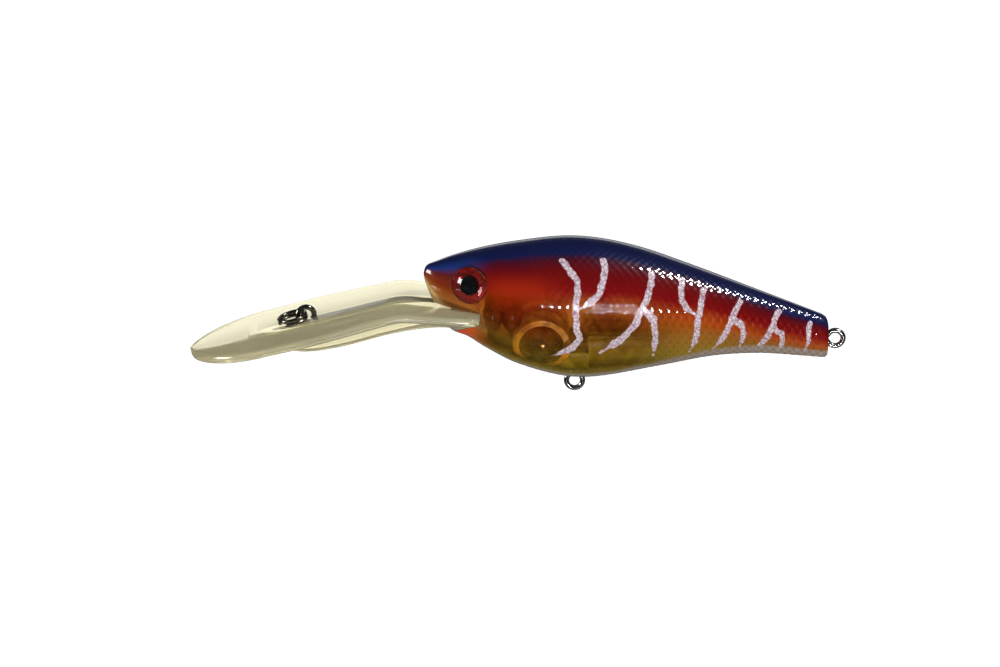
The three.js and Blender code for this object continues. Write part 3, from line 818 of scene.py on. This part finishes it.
def worn(tree, base, amount, **values):
    return use_group(tree, handling_wear, Base=base, Amount=amount, **values)


print("groups:", [g.name for g in bpy.data.node_groups])

# %% [markdown]
# ## The painted skin
# The real finish is sprayed in translucent layers on clear plastic: navy over the back, red on the
# flank, amber below it, bare olive plastic on the belly and silver under the keel, all under gloss
# lacquer. A ramp round the girth gives the layers, a second ramp gives the head's own, and the
# stripes, painted shade in the scale grooves and see-through windows are laid over them with the
# measured attributes.

# %% Paint the skin
NAVY = (0.003, 0.006, 0.042)
ROYAL = (0.006, 0.020, 0.110)
DEEP_RED = (0.085, 0.001, 0.002)
RED = (0.140, 0.001, 0.001)
ORANGE_RED = (0.270, 0.016, 0.001)
THROAT_RED = (0.560, 0.050, 0.002)
AMBER = (0.210, 0.066, 0.001)
OLIVE_AMBER = (0.200, 0.115, 0.006)
ORANGE = (0.260, 0.036, 0.001)
OLIVE = (0.190, 0.140, 0.002)
SILVER = (0.260, 0.220, 0.190)
CREAM = (0.400, 0.270, 0.110)
TAN = (0.220, 0.075, 0.010)
BROWN_RED = (0.150, 0.020, 0.003)
MAROON = (0.070, 0.004, 0.004)
PLUM = (0.035, 0.002, 0.010)
# Painted shade for the grooves between the scales on the flank.
GROOVE_PAINTED_SHADE = (0.030, 0.004, 0.004)
# Painted shade for the grooves between the silver scales along the lowest edge.
KEEL_GROOVE_SHADE = (0.160, 0.100, 0.080)
NET_DARK = (0.200, 0.090, 0.130)
STRIPE_WHITE = (0.460, 0.400, 0.430)


def attribute(tree, name):
    return add_node(tree, "ShaderNodeAttribute", {"attribute_name": name}).outputs["Fac"]


def shadow_ray(tree):
    return add_node(tree, "ShaderNodeLightPath").outputs["Is Shadow Ray"]


def paint_layers(tree, aft, girth, cloudy):
    """The sprayed colours: a ramp for the flank, one for the head, and the chin and cheek."""
    raised = add(tree, girth, times(tree, cloudy, 9.0))
    raised = add(tree, raised, span(tree, aft, 44.0, 66.0, 0.0, 20.0))
    level = add_node(tree, "ShaderNodeMapRange", i0=raised, i1=-90.0, i2=90.0).outputs[0]
    flank = ramp(tree, level, [
        (0.0, SILVER), (0.10, SILVER), (0.17, OLIVE), (0.30, OLIVE_AMBER), (0.42, AMBER),
        (0.50, ORANGE), (0.60, RED), (0.72, DEEP_RED), (0.785, PLUM), (0.83, NAVY),
    ])
    head = ramp(tree, level, [
        (0.0, CREAM), (0.36, CREAM), (0.43, TAN), (0.55, BROWN_RED), (0.70, MAROON), (0.775, ROYAL),
        (0.90, NAVY),
    ])
    chin = times(tree, span(tree, aft, 3.4, 4.6), span(tree, girth, -26.0, -36.0))
    head = mix_colour(tree, chin, head, THROAT_RED)
    colour = mix_colour(tree, span(tree, aft, 6.0, 12.5), head, flank)
    cheek_x = times(tree, span(tree, aft, 9.0, 14.0), span(tree, aft, 27.0, 17.0))
    cheek_z = times(tree, span(tree, girth, -30.0, -5.0), span(tree, girth, 42.0, 12.0))
    return mix_colour(tree, times(tree, cheek_x, cheek_z, 0.75), colour, ORANGE_RED)


def paint_material():
    _, tree, shader = new_material("painted_skin")
    aft, girth = attribute(tree, "aft"), attribute(tree, "girth")
    scale, scaled = attribute(tree, "scale"), attribute(tree, "scaled")
    cloudy = math_node(tree, "SUBTRACT", noise(tree, 260.0), 0.5)
    colour = paint_layers(tree, aft, girth, cloudy)
    # Painted shade: the paint is darkened in the grooves between the scales, where shade falls.
    groove = times(tree, scaled, span(tree, scale, 0.55, 0.12))
    colour = mix_colour(tree, times(tree, groove, 0.42), colour, GROOVE_PAINTED_SHADE)
    # Pale stripes with a dark net through them.
    edge = attribute(tree, "stripe")
    stripe = use_group(tree, soft_edge, Distance=edge, Raggedness=0.75, Softness=0.10)
    cells = add_node(
        tree, "ShaderNodeTexVoronoi", {"feature": "DISTANCE_TO_EDGE"},
        Vector=object_coordinates(tree), Scale=1500.0,
    ).outputs[0]
    net = span(tree, cells, 0.02, 0.13, 0.15, 1.0)
    # Painted shade: the stripes' dark net is darker still in the scale grooves.
    net = times(tree, net, span(tree, groove, 0.95, 0.35, 0.45, 1.0))
    colour = mix_colour(tree, stripe, colour, mix_colour(tree, net, NET_DARK, STRIPE_WHITE))
    # Silver scales along the lowest edge, wider towards the tail, with painted shade in their grooves.
    keel_edge = add(tree, girth, times(tree, cloudy, 10.0))
    keel_edge = add(tree, keel_edge, span(tree, aft, 24.0, 66.0, 0.0, -28.0))
    keel_edge = times(tree, span(tree, keel_edge, -58.0, -68.0), 0.85, span(tree, aft, 16.0, 24.0))
    colour = mix_colour(tree, keel_edge, colour, mix_colour(tree, scale, KEEL_GROOVE_SHADE, SILVER))
    # Windows: the lacquer is thin over the cheek, the chamber and the rattles.
    window = times(
        tree, span(tree, aft, 8.0, 11.0), span(tree, aft, 46.0, 34.0), span(tree, girth, 22.0, -6.0),
        one_minus(tree, stripe), span(tree, girth, -66.0, -46.0, 0.1, 1.0),
    )
    thin = times(tree, window, span(tree, noise(tree, 420.0, 2.0), 0.30, 0.70, 0.60, 0.84))
    lets_light_in = add(tree, 1.0, times(tree, shadow_ray(tree), 0.4))
    thin = math_node(tree, "MULTIPLY", thin, lets_light_in, clamp=True)
    fine = add_node(tree, "ShaderNodeBump", Strength=0.25, Distance=0.00006, Height=scale)
    plug(
        tree, shader, Base_Color=colour, Alpha=one_minus(tree, thin), Roughness=worn(tree, 0.34, 0.10),
        Metallic=times(tree, span(tree, girth, 70.0, 20.0), 0.12), Normal=fine.outputs[0],
        Coat_Weight=1.0, Coat_Roughness=0.035, Specular_IOR_Level=0.08,
    )


# %% [markdown]
# The inner wall has to do two jobs. Seen from inside it is the amber far wall behind the rattles,
# and from outside it must not hide them, so it is clear where a view meets its back. It also lets
# the lamps' light in, as thin tinted plastic would, because otherwise the rattles stay black.

# %% Paint the inner wall
def inner_wall_material():
    _, tree, shader = new_material("inner_wall")
    patchy = span(tree, noise(tree, 300.0), 0.35, 0.65)
    warm = mix_colour(tree, patchy, (0.13, 0.035, 0.002), (0.30, 0.11, 0.005))
    behind = add_node(tree, "ShaderNodeNewGeometry").outputs["Backfacing"]
    blocks = one_minus(tree, times(tree, shadow_ray(tree), 0.9))
    plug(
        tree, shader, Base_Color=warm, Alpha=times(tree, one_minus(tree, behind), blocks),
        Specular_IOR_Level=0.1, Roughness=worn(tree, 0.35, 0.2),
    )


SIDES = {"left": -1, "right": 1}
paint_material()
inner_wall_material()
for name, side in SIDES.items():
    finish_piece(halves[side], f"body_{name}_skin", "lure", f"body_{name}", "painted_shell", None, 50)

# %% [markdown]
# ## Clear bill
# The bill is clear plastic with a smoky olive tint. It is a plain glass shader: the tint is even, and
# only the gloss and a faint moulding ripple change over the surface.

# %% Finish the bill
def clear_plastic(name, colour, roughness, ior, ripple=0.0, clear=1.0):
    material, tree, shader = new_material(name)
    gloss = worn(tree, roughness, 0.05, Patch_Size=90.0)
    plug(tree, shader, Base_Color=(*colour, 1), Transmission_Weight=clear, IOR=ior, Roughness=gloss)
    if ripple:
        waves = noise(tree, 120.0, 2.0)
        bump = add_node(tree, "ShaderNodeBump", Strength=ripple, Distance=0.0002, Height=waves)
        plug(tree, shader, Normal=bump.outputs[0])
    return material


bill_plastic = clear_plastic("bill_plastic", (0.80, 0.745, 0.49), 0.04, 1.49, 0.12, 0.76)
finish_piece(bill, "clear_bill", "lure", "bill", "clear_bill", bill_plastic, 40)

# %% [markdown]
# ## Eyes
# Each eye is three stacked pieces: a red foil, a domed black pupil and a clear lens over both. They
# are turned shapes, so each is a circle that is extruded and resized along a short profile.

# %% Turn the eyes
def dome_profile():
    """A pocket for the pupil, the flat underside and a crown that is part of a sphere."""
    sphere = (DOME_RADIUS**2 + DOME_HEIGHT**2) / (2 * DOME_HEIGHT)
    rim = math.asin(DOME_RADIUS / sphere)
    angles = [rim * (1 - i / 12) for i in range(12)]
    crown = [(sphere * math.sin(a), sphere * (math.cos(a) - 1) + DOME_HEIGHT) for a in angles]
    pocket = PUPIL_RADIUS + 0.15
    under = [(pocket, -0.12), (pocket, -0.5), (DOME_RADIUS - 0.08, -0.5), (DOME_RADIUS, -0.42)]
    return under + crown + [(0.25, DOME_HEIGHT - 0.004)]


def foil_profile():
    return [
        (FOIL_RADIUS - 0.05, -0.95), (FOIL_RADIUS, -0.90), (FOIL_RADIUS, -0.76),
        (FOIL_RADIUS - 0.08, -0.70), (2.2, -0.74), (PUPIL_RADIUS, -0.76),
    ]


def pupil_profile():
    angles = (0.0, 0.35, 0.7, 1.0, 1.25, 1.45)
    rise = [(PUPIL_RADIUS * math.cos(a), -0.48 + 0.22 * math.sin(a)) for a in angles]
    return [(PUPIL_RADIUS - 0.03, -0.54)] + rise


def foil_material():
    material, tree, shader = new_material("red_foil")
    speckle = span(tree, noise(tree, 2400.0, 2.0), 0.35, 0.7)
    colour = mix_colour(tree, speckle, (0.10, 0.001, 0.001), (0.42, 0.004, 0.001))
    plug(tree, shader, Base_Color=colour, Roughness=worn(tree, 0.28, 0.2), Specular_IOR_Level=0.1)
    return material


def pupil_material():
    material, tree, shader = new_material("black_pupil")
    black, gloss = (0.002, 0.002, 0.002, 1), worn(tree, 0.22, 0.05)
    plug(tree, shader, Base_Color=black, Roughness=gloss, Specular_IOR_Level=0.15)
    return material


red_foil, black_pupil = foil_material(), pupil_material()
eye_lens = clear_plastic("eye_lens", (0.98, 0.97, 0.96), 0.0, 1.45)
for name, side in SIDES.items():
    for label, profile, slot, material in (
        ("foil", foil_profile(), "red_foil", red_foil),
        ("pupil", pupil_profile(), "black_pupil", black_pupil),
        ("dome", dome_profile(), "clear_dome", eye_lens),
    ):
        node = f"eye_{name}_{label}"
        piece = seat_on(turned_piece(profile), side)
        finish_piece(piece, f"{node}_fine", "lure", node, slot, material, 35)

# %% [markdown]
# ## Wire
# The hangers, the line tie and the split ring are all bent wire. A wire is easiest as a curve with a
# round bevel, turned into a mesh at the end, so that the bends stay perfectly even.

# %% Bend the wires
WIRE = 0.93
EYE_RADIUS, ANCHOR_RADIUS, NECK_HALF, NECK_LENGTH = 1.405, 1.3, 0.5, 0.2
TIE_HEIGHT, TIE_DEPTH, TIE_LEG_HALF, TIE_END_X, TIE_END_DROP = 0.75, 0.8, 0.5, 6.5, 2.2
TIE_S = bill_distance(-20.2)
BELLY_EYE, TAIL_EYE = (26.15, -14.8), (71.25, -7.0)
RING_DIAMETER, RING_WIRE, RING_GAP, RING_STEP = 5.4, 0.62, 0.03, 0.14


def wire_piece(points, diameter):
    """A round wire through points in the frame, with flat capped ends, as a mesh."""
    data = bpy.data.curves.new("wire", "CURVE")
    data.dimensions = "3D"
    data.bevel_depth = diameter / 2 * MM
    data.bevel_resolution = 6
    data.use_fill_caps = True
    spline = data.splines.new("NURBS")
    spline.points.add(len(points) - 1)
    for point, place in zip(spline.points, points):
        point.co = (*place, 1)
    spline.order_u = 4
    spline.use_endpoint_u = True
    spline.resolution_u = 4
    piece = bpy.data.objects.new("wire", data)
    bpy.context.scene.collection.objects.link(piece)
    only(piece)
    bpy.ops.object.convert(target="MESH")
    piece = bpy.context.object
    tidy_mesh(piece)
    return piece


def hanger_points(x, z, turn):
    """The wire's line: a buried eye, a pinched neck and the outer eye, back to the buried one."""
    offset = EYE_RADIUS + ANCHOR_RADIUS + NECK_LENGTH
    outer_neck = math.pi - math.asin(NECK_HALF / EYE_RADIUS)
    inner_neck = math.asin(NECK_HALF / ANCHOR_RADIUS)
    end = math.pi - 0.12

    def arc(centre, radius, start, stop, count):
        angles = [start + (stop - start) * i / (count - 1) for i in range(count)]
        return [(centre + radius * math.cos(a), radius * math.sin(a)) for a in angles]

    line = arc(-offset, ANCHOR_RADIUS, -end, -inner_neck, 14)
    line += arc(0, EYE_RADIUS, -outer_neck, outer_neck, 40)
    line += arc(-offset, ANCHOR_RADIUS, inner_neck, end, 14)
    c, s = math.cos(turn), math.sin(turn)
    return [at(x + u * c + w * s, 0, z - u * s + w * c) for u, w in line]


def line_tie_points():
    """One leg out of the head inside the bill, once round the eye, and the other leg back."""
    end_s = bill_distance(TIE_END_X)
    start = TIE_S + EYE_RADIUS

    def leg(y):
        run = [bill_point(start + (end_s - start) * i / 20, y, -TIE_DEPTH)[0] for i in range(21)]
        return run + [bill_point(end_s + 0.4, y, -TIE_DEPTH - TIE_END_DROP)[0]]

    gap = math.pi / 5
    eye = []
    for i in range(31):
        a = gap + 2 * (math.pi - gap) * i / 30
        y = TIE_LEG_HALF * (-1 + i / 15)
        s, n = TIE_S - EYE_RADIUS * math.sin(a), TIE_HEIGHT - EYE_RADIUS * math.cos(a)
        eye.append(bill_point(s, y, n)[0])
    return [at(*p) for p in leg(-TIE_LEG_HALF)[::-1] + eye + leg(TIE_LEG_HALF)]


def split_ring_points():
    """Two flat turns lying forward on the bill, with a step between the wire's two ends."""
    radius = (RING_DIAMETER - RING_WIRE) / 2
    tie, angle = bill_point(TIE_S, 0, TIE_HEIGHT)
    along = Vector((math.cos(angle), 0, math.sin(angle)))
    up = Vector((-math.sin(angle), 0, math.cos(angle)))
    turns, steps, first_end = 2 - RING_STEP, 150, math.radians(235)
    points = []
    for i in range(steps + 1):
        turn = turns * i / steps
        a = 2 * math.pi * turn + first_end
        height = (RING_WIRE + RING_GAP) * (smoothstep(1 - RING_STEP, 1, turn) - 0.5)
        round_ring = along * (radius * math.cos(a) - radius) + Vector((0, radius * math.sin(a), 0))
        points.append(at(*(tie + round_ring + up * height)))
    return points


def metal(name, dark, light, roughness):
    """Bare metal whose colour and gloss wander a little along it."""
    material, tree, shader = new_material(name)
    drawn = span(tree, noise(tree, 1800.0, 2.0), 0.35, 0.65)
    colour, gloss = mix_colour(tree, drawn, dark, light), worn(tree, roughness, 0.12)
    plug(tree, shader, Base_Color=colour, Metallic=1.0, Roughness=gloss)
    return material


nickel = metal("nickel_wire", (0.30, 0.28, 0.25), (0.55, 0.53, 0.50), 0.12)
dark_nickel = metal("dark_nickel", (0.12, 0.11, 0.09), (0.30, 0.28, 0.24), 0.12)
for name, points, node, material in (
    ("belly_hanger_wire", hanger_points(*BELLY_EYE, math.pi / 2), "belly_hanger", nickel),
    ("tail_hanger_wire", hanger_points(*TAIL_EYE, 0.0), "tail_hanger", nickel),
    ("line_tie_fine", line_tie_points(), "line_tie_wire", dark_nickel),
):
    finish_piece(wire_piece(points, WIRE), name, "lure", node, "steel_wire", material, 60)
ring_coil = wire_piece(split_ring_points(), RING_WIRE)
finish_piece(ring_coil, "split_ring_coil", "ring", "split_ring", "ring_steel", dark_nickel, 60)

# %% [markdown]
# ## What shows through the plastic
# Two ballast balls sit behind the eye, a big knocker rolls in a round chamber, and small brass beads
# run in a tunnel behind it. The balls start as spheres and get the flat witness mark and faint seam
# that a cast or ground ball has.

# %% Balls and beads
def ball_piece(node, seam):
    low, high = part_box(node)
    centre, radius = (low + high) / 2, (high.x - low.x) / 2
    bpy.ops.mesh.primitive_uv_sphere_add(segments=48, ring_count=24, radius=radius, location=centre)
    piece = bpy.context.object
    settle(piece)
    open_mesh(piece, "DESELECT")
    close_mesh()
    for polygon in piece.data.polygons:
        polygon.select = polygon.center.z > centre.z + radius * 0.97
    bpy.ops.object.mode_set(mode="EDIT")
    bpy.ops.mesh.inset(thickness=radius * 0.02, depth=-radius * seam)
    close_mesh()
    return piece


brass = metal("polished_brass", (0.75, 0.42, 0.08), (0.95, 0.66, 0.20), 0.10)
dull_lead = metal("dull_ballast", (0.03, 0.025, 0.02), (0.09, 0.07, 0.06), 0.30)
bright_steel = metal("polished_steel", (0.16, 0.07, 0.02), (0.34, 0.18, 0.06), 0.10)
BALLS = [("knocker_ball", "knocker_fine", "knocker", "knocker_steel", bright_steel, 0.03)]
for i in (1, 2):
    BALLS.append((f"ballast_ball_{i}", f"ballast_{i}_fine", "lure", "ballast_metal", dull_lead, 0.06))
for i in (1, 2, 3, 4):
    BALLS.append((f"rattle_bead_{i}", f"bead_{i}_fine", f"bead_{i}", "brass_bead", brass, 0.03))
for node, name, body, slot, material, seam in BALLS:
    finish_piece(ball_piece(node, seam), name, body, node, slot, material, 60)

# %% [markdown]
# The chamber's wall is moulded on each half as a short tube that reaches the parting plane, the
# ballast sits in two lumps, the beads run in a trough, and a block holds the belly hanger's buried
# eye. Each is built as a plain solid and is then trimmed by the body's own shape, so that none of it
# can stand out of the skin.

# %% Chamber walls, ballast lumps, bead tunnel and peg block
CHAMBER_X, CHAMBER_Z, CHAMBER_INNER, CHAMBER_OUTER = 20.3, -6.8, 3.9, 5.0
TUNNEL_FROM, TUNNEL_TO, TUNNEL_FLOOR, TUNNEL_ROOF = 29.2, 43.0, -10.3, -7.4
TUNNEL_HALF, TUNNEL_WALL = 1.5, 0.8
BALLAST_XS, BALLAST_Z, POCKET_RADIUS = (11.75, 15.2), -2.5, 1.72
LUMP_RADII = (1.95, 2.9, 3.3)
PEG_BLOCK_HALF, PEG_BLOCK_FLOOR, PEG_BLOCK_ROOF = 2.5, -16.0, -8.8
CAVITY_RIBS_FROM, CAVITY_RIBS_TO = 11, 62
RIB_INSET = 1.3
PARTING_GAP = 0.1


def rod(x, z, radius, side, reach):
    """A cylinder across one half, from the parting plane outwards."""
    bpy.ops.mesh.primitive_cylinder_add(
        vertices=72, radius=radius * MM, depth=reach * MM,
        location=at(x, side * (PARTING_GAP + reach / 2), z), rotation=(math.pi / 2, 0, 0),
    )
    piece = bpy.context.object
    settle(piece)
    return piece


def block(x_low, x_high, z_low, z_high, side, y_low, y_high):
    """A box on one side of the parting plane."""
    centre = at((x_low + x_high) / 2, side * (y_low + y_high) / 2, (z_low + z_high) / 2)
    bpy.ops.mesh.primitive_cube_add(size=MM, location=centre)
    piece = bpy.context.object
    piece.scale = (x_high - x_low, y_high - y_low, z_high - z_low)
    settle(piece)
    return piece


def soften(piece, width):
    """Rounds the sharp edges of a moulded rib."""
    only(piece)
    modifier = piece.modifiers.new("edges", "BEVEL")
    modifier.width = width * MM
    modifier.segments = 3
    modifier.limit_method = "ANGLE"
    modifier.angle_limit = math.radians(50)
    modifier.harden_normals = True
    bpy.ops.object.modifier_apply(modifier="edges")
    return piece


def trimmed(piece):
    """Keeps what lies inside the shell."""
    return boolean(piece, body_solid(RIB_INSET, CAVITY_RIBS_FROM, CAVITY_RIBS_TO), "INTERSECT")


def sphere_at(x, z, radius, segments):
    bpy.ops.mesh.primitive_uv_sphere_add(
        segments=segments, ring_count=segments // 2, radius=radius * MM, location=at(x, 0, z),
    )
    return bpy.context.object


def chamber_piece(side):
    tube = soften(rod(CHAMBER_X, CHAMBER_Z, CHAMBER_OUTER, side, 5.3), 0.2)
    return trimmed(boolean(tube, rod(CHAMBER_X, CHAMBER_Z, CHAMBER_INNER, side, 12), "DIFFERENCE"))


def ballast_piece(side):
    """Two tall rounded lumps, joined, with a round pocket for each ball."""
    lumps = []
    for x in BALLAST_XS:
        lump = sphere_at(x, BALLAST_Z, 1.0, 48)
        lump.scale = LUMP_RADII
        settle(lump)
        lumps.append(lump)
    holder = boolean(lumps[0], lumps[1], "UNION")
    boolean(holder, block(0, 40, -20, 20, side, PARTING_GAP, 20), "INTERSECT")
    for x in BALLAST_XS:
        pocket = sphere_at(x, BALLAST_Z, POCKET_RADIUS, 32)
        settle(pocket)
        boolean(holder, pocket, "DIFFERENCE")
    return trimmed(holder)


def tunnel_piece(side):
    wall = TUNNEL_WALL
    trough = block(
        TUNNEL_FROM - wall, TUNNEL_TO + wall, TUNNEL_FLOOR - wall, TUNNEL_ROOF + wall,
        side, PARTING_GAP, TUNNEL_HALF + wall,
    )
    run = block(TUNNEL_FROM, TUNNEL_TO, TUNNEL_FLOOR, TUNNEL_ROOF, side, -1, TUNNEL_HALF)
    return trimmed(boolean(soften(trough, 0.3), run, "DIFFERENCE"))


def peg_block_piece(side):
    """The block that the belly hanger's buried eye is pegged in."""
    x, half = BELLY_EYE[0], PEG_BLOCK_HALF
    return trimmed(soften(
        block(x - half, x + half, PEG_BLOCK_FLOOR, PEG_BLOCK_ROOF, side, PARTING_GAP, half), 0.3,
    ))


def rib_material(name, dark, light, alpha):
    """Moulded clear plastic seen through tinted lacquer; alpha says how much it hides."""
    material, tree, shader = new_material(name)
    patchy = span(tree, noise(tree, 500.0), 0.4, 0.6)
    plug(
        tree, shader, Base_Color=mix_colour(tree, patchy, dark, light), Alpha=alpha,
        Roughness=worn(tree, 0.24, 0.1), Specular_IOR_Level=0.3,
    )
    return material


amber_rib = rib_material("amber_rib", (0.26, 0.085, 0.003), (0.50, 0.20, 0.010), 0.72)
brown_rib = rib_material("brown_rib", (0.012, 0.003, 0.001), (0.05, 0.012, 0.002), 0.92)
olive_rib = rib_material("olive_rib", (0.20, 0.11, 0.003), (0.44, 0.27, 0.01), 0.22)
peg_rib = rib_material("peg_rib", (0.12, 0.075, 0.002), (0.24, 0.16, 0.004), 0.90)
for name, side in SIDES.items():
    for label, make, material in (
        ("chamber_wall", chamber_piece, amber_rib),
        ("ballast_block", ballast_piece, brown_rib),
        ("bead_tunnel", tunnel_piece, olive_rib),
        ("belly_peg_block", peg_block_piece, peg_rib),
    ):
        body_node = f"body_{name}"
        finish_piece(make(side), f"{label}_{name}", "lure", body_node, "painted_shell", material, 40)

# %% [markdown]
# ## Stage and lights
# The lure hangs over a plain white floor, far enough above it for the shadow to fall out of the
# picture. Gloss shows whatever it reflects, so the lamps are small and the room they stand in is dark:
# the overhead lamp draws the glint row along the back, the window in front gives the highlights on the
# snout and eye, and a fill lights each flank but isn't seen in its gloss. A small glint lamp is.

# %% Floor, world and softboxes
FLOOR_DROP = 0.35
bpy.ops.mesh.primitive_plane_add(size=8, location=(0, 0, cad_low.z - FLOOR_DROP))
floor = bpy.context.object
floor.name = "floor"
floor_material, floor_tree, floor_shader = new_material("floor_white")
floor_backdrop = sees_backdrop(floor_tree)
floor_colour = mix_colour(floor_tree, floor_backdrop, (0.14, 0.14, 0.14), (0.72, 0.72, 0.72))
plug(
    floor_tree, floor_shader, Base_Color=floor_colour, Roughness=0.9,
    Emission_Color=(1, 1, 1, 1), Emission_Strength=floor_backdrop,
)
floor.data.materials.append(floor_material)

world = bpy.data.worlds.new("studio")
bpy.context.scene.world = world
world.use_nodes = True
world_tree = world.node_tree
backdrop = mix_colour(world_tree, sees_backdrop(world_tree), (0.045, 0.048, 0.055), (1, 1, 1))
world_tree.links.new(backdrop, world_tree.nodes["Background"].inputs["Color"])
bpy.context.scene.view_settings.view_transform = "Standard"


def softbox(name, place, size, power, in_gloss=True):
    """A rectangular area light that faces the lure, and that its gloss may or may not show."""
    centre = at(25, 0, 0)
    location = centre + Vector(place)
    bpy.ops.object.light_add(type="AREA", location=location)
    light = bpy.context.object
    light.name = name
    light.data.shape = "RECTANGLE"
    light.data.size, light.data.size_y = size
    light.data.energy = power
    light.rotation_euler = (centre - location).to_track_quat("-Z", "Y").to_euler()
    light.visible_glossy = in_gloss


softbox("overhead", (0.36, -0.16, 0.50), (0.09, 0.06), 3.6)
softbox("window", (-0.62, -0.16, 0.14), (0.22, 0.22), 3.0)
softbox("fill", (0.10, -0.64, -0.16), (0.06, 0.045), 4.2, in_gloss=False)
softbox("far_fill", (0.10, 0.62, 0.16), (0.06, 0.045), 3.2, in_gloss=False)
softbox("glint", (0.11, -0.64, -0.16), (0.045, 0.028), 1.0)
softbox("backdrop_glow", (0.05, 0.62, 0.12), (0.80, 0.16), 0.35)
